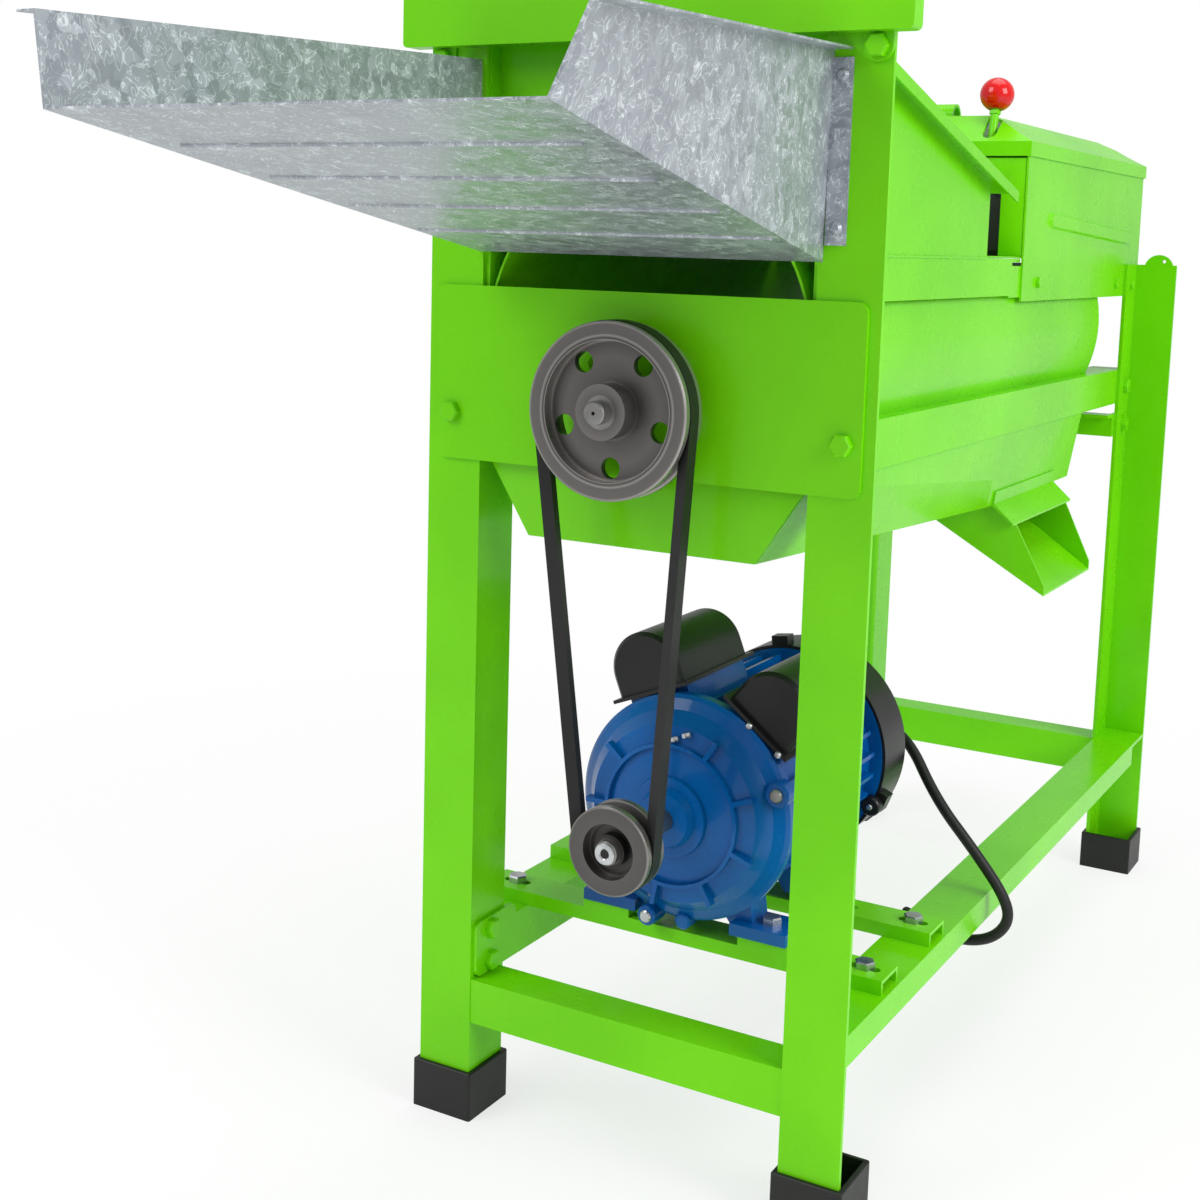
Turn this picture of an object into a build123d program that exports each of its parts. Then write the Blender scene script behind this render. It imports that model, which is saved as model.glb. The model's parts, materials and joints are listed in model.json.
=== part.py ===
from build123d import *
from math import atan2, cos, degrees, hypot, pi, radians, sin, tan
import os

os.makedirs("parts", exist_ok=True)

# Axes: +X is the machine's right, +Y its rear and +Z up; Z = 0 is the floor.
# The origin is on the floor, in the middle of the whole machine's plan.

# Angle-iron frame
FRONT = -285.0           # front faces of the front legs
FRAME_LENGTH = 966.0     # to the rear faces of the rear legs
HALF_WIDTH = 193.0       # free edges of the leg flanges
LEG_FLANGE = 50.0
LEG_WALL = 4.0
FRONT_LEG_TOP = 930.0
REAR_LEG_TOP = 733.0
REAR = FRONT + FRAME_LENGTH
INNER = HALF_WIDTH - LEG_FLANGE      # inner faces of the legs
LUG_WIDTH = 32.0
LUG_HEIGHT = 12.0
LUG_SHIFT = 4.5          # outwards from the flange's middle
LUG_HOLE_RADIUS = 2.0
LUG_HOLE_OUT = 5.9
LUG_HOLE_UP = 4.3
lug_radius = (LUG_WIDTH ** 2 / 4 + LUG_HEIGHT ** 2) / (2 * LUG_HEIGHT)
BOOT_WALL = 4.0
BOOT_HEIGHT = 42.0
BOOT_SOLE = 6.0
FIT = 0.3                # gap between parts that slide together

# Cross members and rails: lower edge or upper face, and flange widths
CROSSBAR_FLANGE = 38.0
FRONT_CROSSBAR_TOP = 124.0
REAR_CROSSBAR_TOP = 159.0
BAR_WALL = 4.0
LOWER_RAIL_TOP = 163.0
LOWER_RAIL_DROP = 25.0
MID_RAIL_TOP = 609.0
MID_RAIL_FLANGE = 40.0
UPPER_RAIL_TOP = 737.0
UPPER_RAIL_DROP = 35.0
UPPER_RAIL_LENGTH = 466.0
REAR_MEMBER_TOP = 557.0
REAR_MEMBER_DROP = 27.0
REAR_MEMBER_SETBACK = 54.0

# Fasteners
BOLT_RADIUS = 4.0
BOLT_AF = 15.0
BOLT_HEAD = 6.0
NUT_HEIGHT = 6.0
SMALL_BOLT_RADIUS = 2.5
SMALL_BOLT_AF = 10.0
SMALL_BOLT_HEAD = 4.0
HOLE_GAP = 0.3

# Front plate that carries the drum's front bearing
PLATE_HALF = 184.0
PLATE_BOTTOM = 565.0
PLATE_TOP = 705.0
PLATE_WALL = 3.0
PLATE_CORNER = 8.0
PLATE_BOLT_X = 169.0
PLATE_BOLT_Z = 603.0
SHEET = 2.0              # painted sheet steel of walls and covers

# Shelling drum
DRUM_Z = 618.0
SHAFT_RADIUS = 12.5
DRUM_RADIUS = 42.0
TOOTH_HEIGHT = 18.0
TOOTH_SIZE = 11.0
TOOTH_ROWS = 4
TEETH_PER_ROW = 11
DRUM_FRONT = FRONT + 34.0
DRUM_LENGTH = 740.0
CONCAVE_RADIUS = 94.0
CONCAVE_WALL = 3.0
RUN_FIT = 0.05           # radial clearance of a shaft in its bearing

# Drive
PULLEY_RADIUS = 67.0
PULLEY_FRONT = FRONT - 48.0
PULLEY_WIDTH = 26.0
MOTOR_PULLEY_RADIUS = 35.0
MOTOR_X = 13.0
MOTOR_Z = 283.0
BELT_TOP_WIDTH = 13.0
BELT_HEIGHT = 9.0


def section(y):
    """Plane across the machine at depth y: sketch axes are X and Z."""
    return Plane(origin=(0, y, 0), x_dir=(1, 0, 0), z_dir=(0, -1, 0))


def side(x):
    """Plane along the machine at width x: sketch axes are Y and Z."""
    return Plane(origin=(x, 0, 0), x_dir=(0, 1, 0), z_dir=(1, 0, 0))


def facing_front(x, y, z):
    return Plane(origin=(x, y, z), x_dir=(1, 0, 0), z_dir=(0, -1, 0))


def facing_side(x, y, z, sign=1):
    return Plane(origin=(x, y, z), x_dir=(0, 1, 0), z_dir=(sign, 0, 0))


def angle_bar(plane, reach_a, reach_b, wall, length):
    """Angle iron: its outer corner is the plane's origin, its flanges reach
    along the plane's two axes, and it is extruded along the plane's normal."""
    a = wall if reach_a > 0 else -wall
    b = wall if reach_b > 0 else -wall
    with BuildPart() as bar:
        with BuildSketch(plane):
            with BuildLine():
                Polyline((0, 0), (reach_a, 0), (reach_a, b), (a, b), (a, reach_b), (0, reach_b), close=True)
            make_face()
        extrude(amount=length)
    return bar.part


def hex_bolt(af, head, radius, grip, nut):
    """Bolt along Z: the head stands on Z = 0, the nut closes the grip below it."""
    with BuildPart() as bolt:
        with BuildSketch(Plane.XY):
            RegularPolygon(af / 2, 6, major_radius=False)
        extrude(amount=head)
        chamfer(bolt.faces().sort_by(Axis.Z)[-1].edges(), head * 0.18)
        with BuildSketch(Plane.XY.offset(-grip - nut - 1)):
            Circle(radius)
        extrude(amount=grip + nut + 1)
        if nut > 0:
            with BuildSketch(Plane.XY.offset(-grip - nut)):
                RegularPolygon(af / 2, 6, major_radius=False)
            extrude(amount=nut)
    return bolt.part


# Frame bolts: where each one stands and the thickness it clamps
mid_bolt_z = MID_RAIL_TOP - MID_RAIL_FLANGE / 2
rail_bolts = [(FRONT + 24.0, LOWER_RAIL_TOP), (FRONT + 24.0, LOWER_RAIL_TOP - 28)]
FOOT_BOLTS_Y = (FRONT + 100.0, FRONT + 212.0)
END_BOLTS_X = (-161.0, 168.0)
RIVET_X = 156.0
RIVET_Z = (756.0, 862.0)
RIVET_RADIUS = 2.4
COVER_LEG_BOLT = (REAR - 29.0, 709.0)
HOOD_BOLT_X = 182.0
HOOD_BOLT_Z = 881.0
rear_member_y = REAR - REAR_MEMBER_SETBACK
member_bolts = [(rear_member_y + 29, REAR_MEMBER_TOP - REAR_MEMBER_DROP / 2)]

# Legs: the X flange is at the machine's ends, the Y flange stands inside it
with BuildPart() as front_right_leg:
    add(angle_bar(Plane(origin=(INNER, FRONT, BOOT_SOLE)), LEG_FLANGE, LEG_FLANGE,
                  LEG_WALL, FRONT_LEG_TOP - BOOT_SOLE))
    with Locations(facing_front(PLATE_BOLT_X, FRONT, PLATE_BOLT_Z),
                   facing_front(HOOD_BOLT_X, FRONT, HOOD_BOLT_Z)):
        Cylinder(BOLT_RADIUS + HOLE_GAP, 4 * LEG_WALL, mode=Mode.SUBTRACT)
    with Locations(facing_side(INNER, FRONT + LEG_FLANGE / 2, mid_bolt_z)):
        Cylinder(BOLT_RADIUS + HOLE_GAP, 4 * LEG_WALL, mode=Mode.SUBTRACT)
    with Locations([facing_front(RIVET_X, FRONT, z) for z in RIVET_Z]):
        Cylinder(RIVET_RADIUS + HOLE_GAP, 4 * LEG_WALL, mode=Mode.SUBTRACT)
front_right_leg.part.label = "front_right_leg"

with BuildPart() as front_left_leg:
    mirror(front_right_leg.part, about=Plane.YZ)
    with Locations([facing_side(-INNER, y, z) for y, z in rail_bolts]):
        Cylinder(BOLT_RADIUS + HOLE_GAP, 4 * LEG_WALL, mode=Mode.SUBTRACT)
front_left_leg.part.label = "front_left_leg"

# Rear legs: each flange ends in a low round lug
lug_x = INNER + LEG_FLANGE / 2 + LUG_SHIFT
with BuildPart() as rear_right_leg:
    add(angle_bar(Plane(origin=(INNER, REAR, BOOT_SOLE)), LEG_FLANGE, -LEG_FLANGE,
                  LEG_WALL, REAR_LEG_TOP - BOOT_SOLE))
    with BuildSketch(section(REAR)):
        with Locations((lug_x, REAR_LEG_TOP + LUG_HEIGHT - lug_radius)):
            Circle(lug_radius)
        with Locations((lug_x + LUG_HOLE_OUT, REAR_LEG_TOP + LUG_HOLE_UP)):
            Circle(LUG_HOLE_RADIUS, mode=Mode.SUBTRACT)
    extrude(amount=LEG_WALL)
    with Locations(facing_side(INNER, REAR - LEG_FLANGE / 2, mid_bolt_z)):
        Cylinder(BOLT_RADIUS + HOLE_GAP, 4 * LEG_WALL, mode=Mode.SUBTRACT)
    with Locations([facing_side(INNER, y, z) for y, z in member_bolts]):
        Cylinder(BOLT_RADIUS + HOLE_GAP, 4 * LEG_WALL, mode=Mode.SUBTRACT)
    with Locations(facing_side(INNER, *COVER_LEG_BOLT)):
        Cylinder(SMALL_BOLT_RADIUS + HOLE_GAP, 4 * LEG_WALL, mode=Mode.SUBTRACT)
rear_right_leg.part.label = "rear_right_leg"

with BuildPart() as rear_left_leg:
    mirror(rear_right_leg.part, about=Plane.YZ)
rear_left_leg.part.label = "rear_left_leg"

# Boots: a square cap over each leg's foot, the leg stands on its sole
leg_centre_x = INNER + LEG_FLANGE / 2
leg_centre_y = FRAME_LENGTH / 2 - LEG_FLANGE / 2
mid_y = FRONT + FRAME_LENGTH / 2
boot_inner = LEG_FLANGE + 2 * FIT
boot_outer = boot_inner + 2 * BOOT_WALL
with BuildPart() as leg_boots:
    with Locations((0, mid_y, 0)):
        with GridLocations(2 * leg_centre_x, 2 * leg_centre_y, 2, 2):
            Box(boot_outer, boot_outer, BOOT_HEIGHT, align=(Align.CENTER, Align.CENTER, Align.MIN))
    fillet(leg_boots.edges().filter_by(Axis.Z), BOOT_WALL / 2)
    chamfer(leg_boots.faces().filter_by(Axis.Z).sort_by(Axis.Z)[-4:].edges(), 0.8)
    with Locations((0, mid_y, BOOT_SOLE)):
        with GridLocations(2 * leg_centre_x, 2 * leg_centre_y, 2, 2):
            Box(boot_inner, boot_inner, BOOT_HEIGHT, align=(Align.CENTER, Align.CENTER, Align.MIN),
                mode=Mode.SUBTRACT)
leg_boots.part.label = "leg_boots"

# Lower cross members between the legs' inner faces
with BuildPart() as lower_front_crossbar:
    add(angle_bar(facing_side(-INNER, FRONT + 1, FRONT_CROSSBAR_TOP), CROSSBAR_FLANGE, -CROSSBAR_FLANGE,
                  BAR_WALL, 2 * INNER))
lower_front_crossbar.part.label = "lower_front_crossbar"

with BuildPart() as lower_rear_crossbar:
    add(angle_bar(facing_side(-INNER + BAR_WALL, REAR - LEG_FLANGE + 4, REAR_CROSSBAR_TOP), CROSSBAR_FLANGE,
                  -CROSSBAR_FLANGE - 4, BAR_WALL, 2 * INNER - BAR_WALL))
lower_rear_crossbar.part.label = "lower_rear_crossbar"

# Lower rails: top flange over the legs' outer corner, outer lip cut away at the rear leg
rail_inner = INNER + LEG_WALL
rail_length = FRAME_LENGTH - 2 * LEG_WALL
with BuildPart() as lower_right_rail:
    add(angle_bar(Plane(origin=(HALF_WIDTH, FRONT + LEG_WALL, LOWER_RAIL_TOP), x_dir=(-1, 0, 0),
                        z_dir=(0, 1, 0)),
                  HALF_WIDTH - rail_inner, -LOWER_RAIL_DROP, BAR_WALL, rail_length))
    with Locations((HALF_WIDTH, REAR, LOWER_RAIL_TOP - BAR_WALL)):
        Box(4 * BAR_WALL, 2 * (LEG_FLANGE + 8), LOWER_RAIL_DROP,
            align=(Align.CENTER, Align.CENTER, Align.MAX), mode=Mode.SUBTRACT)
    with Locations([(END_BOLTS_X[1], y, LOWER_RAIL_TOP) for y in FOOT_BOLTS_Y]):
        Cylinder(BOLT_RADIUS + HOLE_GAP, 4 * BAR_WALL, mode=Mode.SUBTRACT)
lower_right_rail.part.label = "lower_right_rail"

# The left rail lies the same way round: its front end plate is bolted inside the leg's Y flange,
# the rear one is welded
LEFT_RAIL_FLANGE = 46.0
LEFT_RAIL_DROP = 38.0
END_PLATE_HEIGHT = 48.0
END_PLATE_ABOVE = 10.0
RAIL_END_GAP = 3.0
end_plate_length = LEG_FLANGE + 10
rail_setback = LEG_FLANGE + 4
with BuildPart() as lower_left_rail:
    add(angle_bar(Plane(origin=(-INNER + BAR_WALL, FRONT + rail_setback, LOWER_RAIL_TOP), x_dir=(-1, 0, 0),
                        z_dir=(0, 1, 0)),
                  LEFT_RAIL_FLANGE, -LEFT_RAIL_DROP, BAR_WALL, FRAME_LENGTH - 2 * rail_setback))
    with BuildSketch(side(-INNER)):
        for y in (FRONT + RAIL_END_GAP + end_plate_length / 2, REAR - RAIL_END_GAP - end_plate_length / 2):
            with Locations((y, LOWER_RAIL_TOP + END_PLATE_ABOVE - END_PLATE_HEIGHT / 2)):
                RectangleRounded(end_plate_length, END_PLATE_HEIGHT, PLATE_CORNER)
    extrude(amount=BAR_WALL)
    with Locations([facing_side(-INNER, y, z) for y, z in rail_bolts]):
        Cylinder(BOLT_RADIUS + HOLE_GAP, 4 * LEG_WALL, mode=Mode.SUBTRACT)
    with Locations([(END_BOLTS_X[0], y, LOWER_RAIL_TOP) for y in FOOT_BOLTS_Y]):
        Cylinder(BOLT_RADIUS + HOLE_GAP, 4 * BAR_WALL, mode=Mode.SUBTRACT)
lower_left_rail.part.label = "lower_left_rail"

# Mid rails: inside the legs, with a ledge that the drum housing stands on
with BuildPart() as mid_right_rail:
    add(angle_bar(Plane(origin=(INNER, FRONT, MID_RAIL_TOP), x_dir=(-1, 0, 0), z_dir=(0, 1, 0)),
                  MID_RAIL_FLANGE, -MID_RAIL_FLANGE, BAR_WALL, FRAME_LENGTH - LEG_WALL))
    with Locations(facing_side(INNER, FRONT + LEG_FLANGE / 2, mid_bolt_z),
                   facing_side(INNER, REAR - LEG_FLANGE / 2, mid_bolt_z)):
        Cylinder(BOLT_RADIUS + HOLE_GAP, 4 * LEG_WALL, mode=Mode.SUBTRACT)
mid_right_rail.part.label = "mid_right_rail"

with BuildPart() as mid_left_rail:
    mirror(mid_right_rail.part, about=Plane.YZ)
mid_left_rail.part.label = "mid_left_rail"

# Upper rails: they carry the throat's walls
UPPER_RAIL_FLANGE = 38.0
upper_rail_end = FRONT + LEG_WALL + UPPER_RAIL_LENGTH
with BuildPart() as upper_right_rail:
    add(angle_bar(Plane(origin=(INNER, FRONT + LEG_WALL, UPPER_RAIL_TOP), x_dir=(-1, 0, 0), z_dir=(0, 1, 0)),
                  UPPER_RAIL_FLANGE, -UPPER_RAIL_DROP, BAR_WALL, UPPER_RAIL_LENGTH))
upper_right_rail.part.label = "upper_right_rail"

with BuildPart() as upper_left_rail:
    mirror(upper_right_rail.part, about=Plane.YZ)
upper_left_rail.part.label = "upper_left_rail"

# Cover bars: flat bars that run on from the upper rails to the rear legs, inside the cover
COVER_BAR_BOTTOM = 700.0
COVER_BAR_TOP = 730.0
cover_bar_out = INNER - SHEET
cover_bolts_at = [(FRONT + 557.0, 714.0), (FRONT + 877.0, 711.0), COVER_LEG_BOLT]
with BuildPart() as cover_bars:
    with BuildSketch(Plane.XY.offset(COVER_BAR_BOTTOM)):
        for s in (1, -1):
            with Locations((s * (cover_bar_out - BAR_WALL / 2), (upper_rail_end + REAR - LEG_WALL) / 2)):
                Rectangle(BAR_WALL, REAR - LEG_WALL - upper_rail_end)
    extrude(amount=COVER_BAR_TOP - COVER_BAR_BOTTOM)
    with Locations([facing_side(s * INNER, y, z) for s in (1, -1) for y, z in cover_bolts_at]):
        Cylinder(SMALL_BOLT_RADIUS + HOLE_GAP, 6 * BAR_WALL, mode=Mode.SUBTRACT)
cover_bars.part.label = "cover_bars"

# Rear cross member: it ties the rear legs together behind the hopper
with BuildPart() as rear_cross_member:
    add(angle_bar(facing_side(-INNER, rear_member_y, REAR_MEMBER_TOP), -REAR_MEMBER_DROP, -REAR_MEMBER_DROP,
                  BAR_WALL, 2 * INNER))
    with BuildSketch(side(-INNER)):
        with Locations((rear_member_y - BAR_WALL, REAR_MEMBER_TOP)):
            Rectangle(REAR_MEMBER_SETBACK - LEG_WALL, REAR_MEMBER_DROP, align=(Align.MIN, Align.MAX))
    extrude(amount=BAR_WALL)
    with BuildSketch(side(INNER)):
        with Locations((rear_member_y - BAR_WALL, REAR_MEMBER_TOP)):
            Rectangle(REAR_MEMBER_SETBACK - LEG_WALL, REAR_MEMBER_DROP, align=(Align.MIN, Align.MAX))
    extrude(amount=-BAR_WALL)
    with Locations([facing_side(s * INNER, y, z) for s in (1, -1) for y, z in member_bolts]):
        Cylinder(BOLT_RADIUS + HOLE_GAP, 4 * LEG_WALL, mode=Mode.SUBTRACT)
rear_cross_member.part.label = "rear_cross_member"

# Front plate, bolted on the legs' faces; the drum's front bearing hangs behind it
BEARING_FLANGE = 92.0
BEARING_PITCH = 64.0
BEARING_FLANGE_WALL = 10.0
BEARING_BOSS = 30.0
BEARING_DEPTH = 26.0
bearing_bolts = [(x, DRUM_Z + z) for x in (-BEARING_PITCH / 2, BEARING_PITCH / 2)
                 for z in (-BEARING_PITCH / 2, BEARING_PITCH / 2)]
plate_hole = SHAFT_RADIUS + 6
with BuildPart() as front_plate:
    with BuildSketch(section(FRONT)):
        with Locations((0, (PLATE_BOTTOM + PLATE_TOP) / 2)):
            RectangleRounded(2 * PLATE_HALF, PLATE_TOP - PLATE_BOTTOM, PLATE_CORNER)
        with Locations((0, DRUM_Z)):
            Circle(plate_hole, mode=Mode.SUBTRACT)
        with Locations((-PLATE_BOLT_X, PLATE_BOLT_Z), (PLATE_BOLT_X, PLATE_BOLT_Z), *bearing_bolts):
            Circle(BOLT_RADIUS + HOLE_GAP, mode=Mode.SUBTRACT)
    extrude(amount=PLATE_WALL)
front_plate.part.label = "front_plate"

# Feed tray: a trough of galvanised sheet that slopes down into the throat
TRAY_SHEET = 1.5
TRAY_REACH = 416.0
TRAY_FRONT_Z = 810.0
TRAY_REAR_Z = 732.0
TRAY_FRONT_HALF = 175.0
TRAY_REAR_HALF = INNER - FIT
TRAY_FLANGE = 14.0


def tray_profile(half, floor, left_top, right_top):
    """Closed outline of the folded sheet: floor, two walls and their outward lips."""
    t = TRAY_SHEET
    lx, lz = left_top
    rx, rz = right_top
    f = TRAY_FLANGE
    return [(-half, floor), (half, floor), (rx, rz - t), (rx + f, rz - t), (rx + f, rz), (rx - t, rz),
            (half - t, floor + t), (-half + t, floor + t), (lx + t, lz), (lx - f, lz), (lx - f,
                    lz - t), (lx, lz - t)]


with BuildPart() as feed_tray:
    with BuildSketch(section(FRONT - TRAY_REACH)):
        with BuildLine():
            Polyline(*tray_profile(TRAY_FRONT_HALF, TRAY_FRONT_Z, (-182, 868), (198, 857)), close=True)
        make_face()
    with BuildSketch(section(FRONT)):
        with BuildLine():
            Polyline(*tray_profile(TRAY_REAR_HALF + 4, TRAY_REAR_Z, (-149, 881), (149, 881)), close=True)
        make_face()
    loft(ruled=True)
    bead_length = 290.0
    for k in range(1, 5):
        reach = TRAY_REACH * (1 - k / 5)
        with BuildSketch(side(-bead_length / 2)):
            rib_z = TRAY_REAR_Z + (TRAY_FRONT_Z - TRAY_REAR_Z) * reach / TRAY_REACH + 0.5
            with Locations((FRONT - reach, rib_z)):
                Circle(2.2)
        extrude(amount=bead_length)
    with BuildSketch(section(FRONT)):
        for s in (1, -1):
            with Locations((s * (INNER + 5), (RIVET_Z[0] + RIVET_Z[1]) / 2)):
                Rectangle(16, RIVET_Z[1] - RIVET_Z[0] + 24,
                          align=(Align.MIN if s > 0 else Align.MAX, Align.CENTER))
        with Locations([(s * RIVET_X, z) for s in (1, -1) for z in RIVET_Z]):
            Circle(RIVET_RADIUS + HOLE_GAP, mode=Mode.SUBTRACT)
    extrude(amount=TRAY_SHEET)
feed_tray.part.label = "feed_tray"

with BuildPart() as rivet:
    with BuildSketch(Plane.XY.offset(-LEG_WALL - TRAY_SHEET)):
        Circle(RIVET_RADIUS)
    extrude(amount=LEG_WALL + TRAY_SHEET)
    with BuildSketch(Plane.XY):
        Circle(2 * RIVET_RADIUS)
    extrude(amount=RIVET_RADIUS, taper=40)
with BuildPart() as tray_rivets:
    with Locations([facing_front(s * RIVET_X, FRONT - TRAY_SHEET, z) for s in (1, -1) for z in RIVET_Z]):
        add(rivet.part)
tray_rivets.part.label = "tray_rivets"

# Feed hood: a shallow folded panel across the legs' tops, with two ears
HOOD_HALF = 212.0
HOOD_BOTTOM = 890.0
HOOD_TOP = 985.0
HOOD_DEPTH = 17.0
EAR_RADIUS = 14.0
with BuildPart() as feed_hood:
    with BuildSketch(section(FRONT)):
        with Locations((0, (HOOD_BOTTOM + HOOD_TOP) / 2)):
            Rectangle(2 * HOOD_HALF, HOOD_TOP - HOOD_BOTTOM)
    extrude(amount=HOOD_DEPTH)
    fillet(feed_hood.edges().filter_by(Axis.Y), 4)
    offset(amount=-SHEET, openings=feed_hood.faces().sort_by(Axis.Y)[-1])
    with BuildSketch(section(FRONT)):
        for s in (1, -1):
            with Locations((s * HOOD_BOLT_X, HOOD_BOLT_Z)):
                Circle(EAR_RADIUS - 3)
                Rectangle(2 * (EAR_RADIUS - 3), HOOD_BOTTOM - HOOD_BOLT_Z + 6,
                          align=(Align.CENTER, Align.MIN))
        with Locations((HOOD_BOLT_X, HOOD_BOLT_Z), (-HOOD_BOLT_X, HOOD_BOLT_Z)):
            Circle(BOLT_RADIUS + HOLE_GAP, mode=Mode.SUBTRACT)
    extrude(amount=PLATE_WALL)
feed_hood.part.label = "feed_hood"

# Throat: two walls on the upper rails, a baffle that holds back thrown grain, a sloping roof
THROAT_REAR = FRONT + 390.0
ROOF_FRONT_Z = 905.0
ROOF_DROP = 0.25         # fall of the roof per millimetre towards the rear
ROOF_REAR = FRONT + 427.0
ROOF_SIDE = 15.0
ROOF_HEM = 8.0
BAFFLE_Y = FRONT + 20.0
BAFFLE_BOTTOM = 800.0


def roof_z(y):
    """Underside of the throat's roof."""
    return ROOF_FRONT_Z - ROOF_DROP * (y - FRONT) - SHEET


with BuildPart() as throat_right_wall:
    with BuildSketch(side(INNER - SHEET)):
        with BuildLine():
            Polyline((FRONT + LEG_WALL, UPPER_RAIL_TOP), (THROAT_REAR, UPPER_RAIL_TOP),
                     (THROAT_REAR, roof_z(THROAT_REAR)), (FRONT + LEG_WALL,
                                                          roof_z(FRONT + LEG_WALL)), close=True)
        make_face()
    extrude(amount=SHEET)
throat_right_wall.part.label = "throat_right_wall"

with BuildPart() as throat_left_wall:
    mirror(throat_right_wall.part, about=Plane.YZ)
throat_left_wall.part.label = "throat_left_wall"

with BuildPart() as feed_baffle:
    with BuildSketch(section(BAFFLE_Y)):
        with Locations((0, BAFFLE_BOTTOM)):
            Rectangle(2 * (INNER - SHEET), roof_z(BAFFLE_Y) - BAFFLE_BOTTOM, align=(Align.CENTER, Align.MIN))
    extrude(amount=SHEET)
feed_baffle.part.label = "feed_baffle"

with BuildPart() as throat_roof:
    with BuildSketch(side(-INNER - ROOF_SIDE)):
        with BuildLine():
            Polyline((FRONT + LEG_WALL, roof_z(FRONT + LEG_WALL)), (ROOF_REAR, roof_z(ROOF_REAR)),
                     (ROOF_REAR, roof_z(ROOF_REAR) + SHEET), (FRONT + LEG_WALL,
                                                              roof_z(FRONT + LEG_WALL) + SHEET),
                     close=True)
        make_face()
    extrude(amount=2 * (INNER + ROOF_SIDE))
    with BuildSketch(side(INNER + ROOF_SIDE)):
        with BuildLine():
            Polyline((FRONT + LEG_FLANGE + 2, roof_z(FRONT + LEG_FLANGE + 2) - ROOF_HEM),
                     (ROOF_REAR, roof_z(ROOF_REAR) - ROOF_HEM), (ROOF_REAR, roof_z(ROOF_REAR) + SHEET),
                     (FRONT + LEG_FLANGE + 2, roof_z(FRONT + LEG_FLANGE + 2) + SHEET), close=True)
        make_face()
    extrude(amount=-SHEET)
    with BuildSketch(side(-INNER - ROOF_SIDE)):
        with BuildLine():
            Polyline((FRONT + LEG_FLANGE + 2, roof_z(FRONT + LEG_FLANGE + 2) - ROOF_HEM),
                     (ROOF_REAR, roof_z(ROOF_REAR) - ROOF_HEM), (ROOF_REAR, roof_z(ROOF_REAR) + SHEET),
                     (FRONT + LEG_FLANGE + 2, roof_z(FRONT + LEG_FLANGE + 2) + SHEET), close=True)
        make_face()
    extrude(amount=SHEET)
    for x, align in ((INNER, Align.MIN), (-INNER, Align.MAX)):
        with Locations((x, FRONT, ROOF_FRONT_Z)):
            Box(ROOF_SIDE + 5, 2 * (LEG_FLANGE + 2), 80, align=(align, Align.CENTER, Align.CENTER),
                mode=Mode.SUBTRACT)
throat_roof.part.label = "throat_roof"

# Drum housing: two barrel-shaped side sheets from the mid rails' ledges to the upper rails
HOUSING_RADIUS = 140.0
HOUSING_Z = 665.0
HOUSING_END = FRONT + 826.0
HOUSING_END_WALL = 4.0
housing_top = UPPER_RAIL_TOP - BAR_WALL
with BuildPart() as housing_right_side:
    with BuildSketch(section(FRONT + LEG_WALL)):
        with Locations((0, HOUSING_Z)):
            Circle(HOUSING_RADIUS)
            Circle(HOUSING_RADIUS - SHEET, mode=Mode.SUBTRACT)
        with Locations((0, (MID_RAIL_TOP + housing_top) / 2)):
            Rectangle(2 * HOUSING_RADIUS, housing_top - MID_RAIL_TOP, mode=Mode.INTERSECT)
        with Locations((0, HOUSING_Z)):
            Rectangle(2 * HOUSING_RADIUS, 2 * HOUSING_RADIUS, align=(Align.MAX, Align.CENTER),
                      mode=Mode.SUBTRACT)
    extrude(amount=-(HOUSING_END - HOUSING_END_WALL - FRONT - LEG_WALL))
housing_right_side.part.label = "housing_right_side"

with BuildPart() as housing_left_side:
    mirror(housing_right_side.part, about=Plane.YZ)
housing_left_side.part.label = "housing_left_side"

# Grain hopper: folded sheet hung inside the mid rails, its floor falls to the chute's side
HOPPER_SIDE = 36.0         # upright part of the side
HOPPER_DEPTH = 108.0
HOPPER_EDGE_HALF = 127.0
HOPPER_FRONT = FRONT + 10.0
HOPPER_SETBACK = 186.0     # from the rear legs' rear faces
HOPPER_FALL = 30.0
CHUTE_WIDTH = 212.0
CHUTE_SETBACK = 68.0
CHUTE_INSIDE = 60.0
hopper_hang = INNER - BAR_WALL
hopper_top = MID_RAIL_TOP - BAR_WALL - 2
hopper_knee = hopper_top - HOPPER_SIDE
hopper_edge = hopper_top - HOPPER_DEPTH
hopper_rear = REAR - HOPPER_SETBACK
chute_rear = hopper_rear - CHUTE_SETBACK
chute_front = chute_rear - CHUTE_WIDTH


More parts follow.
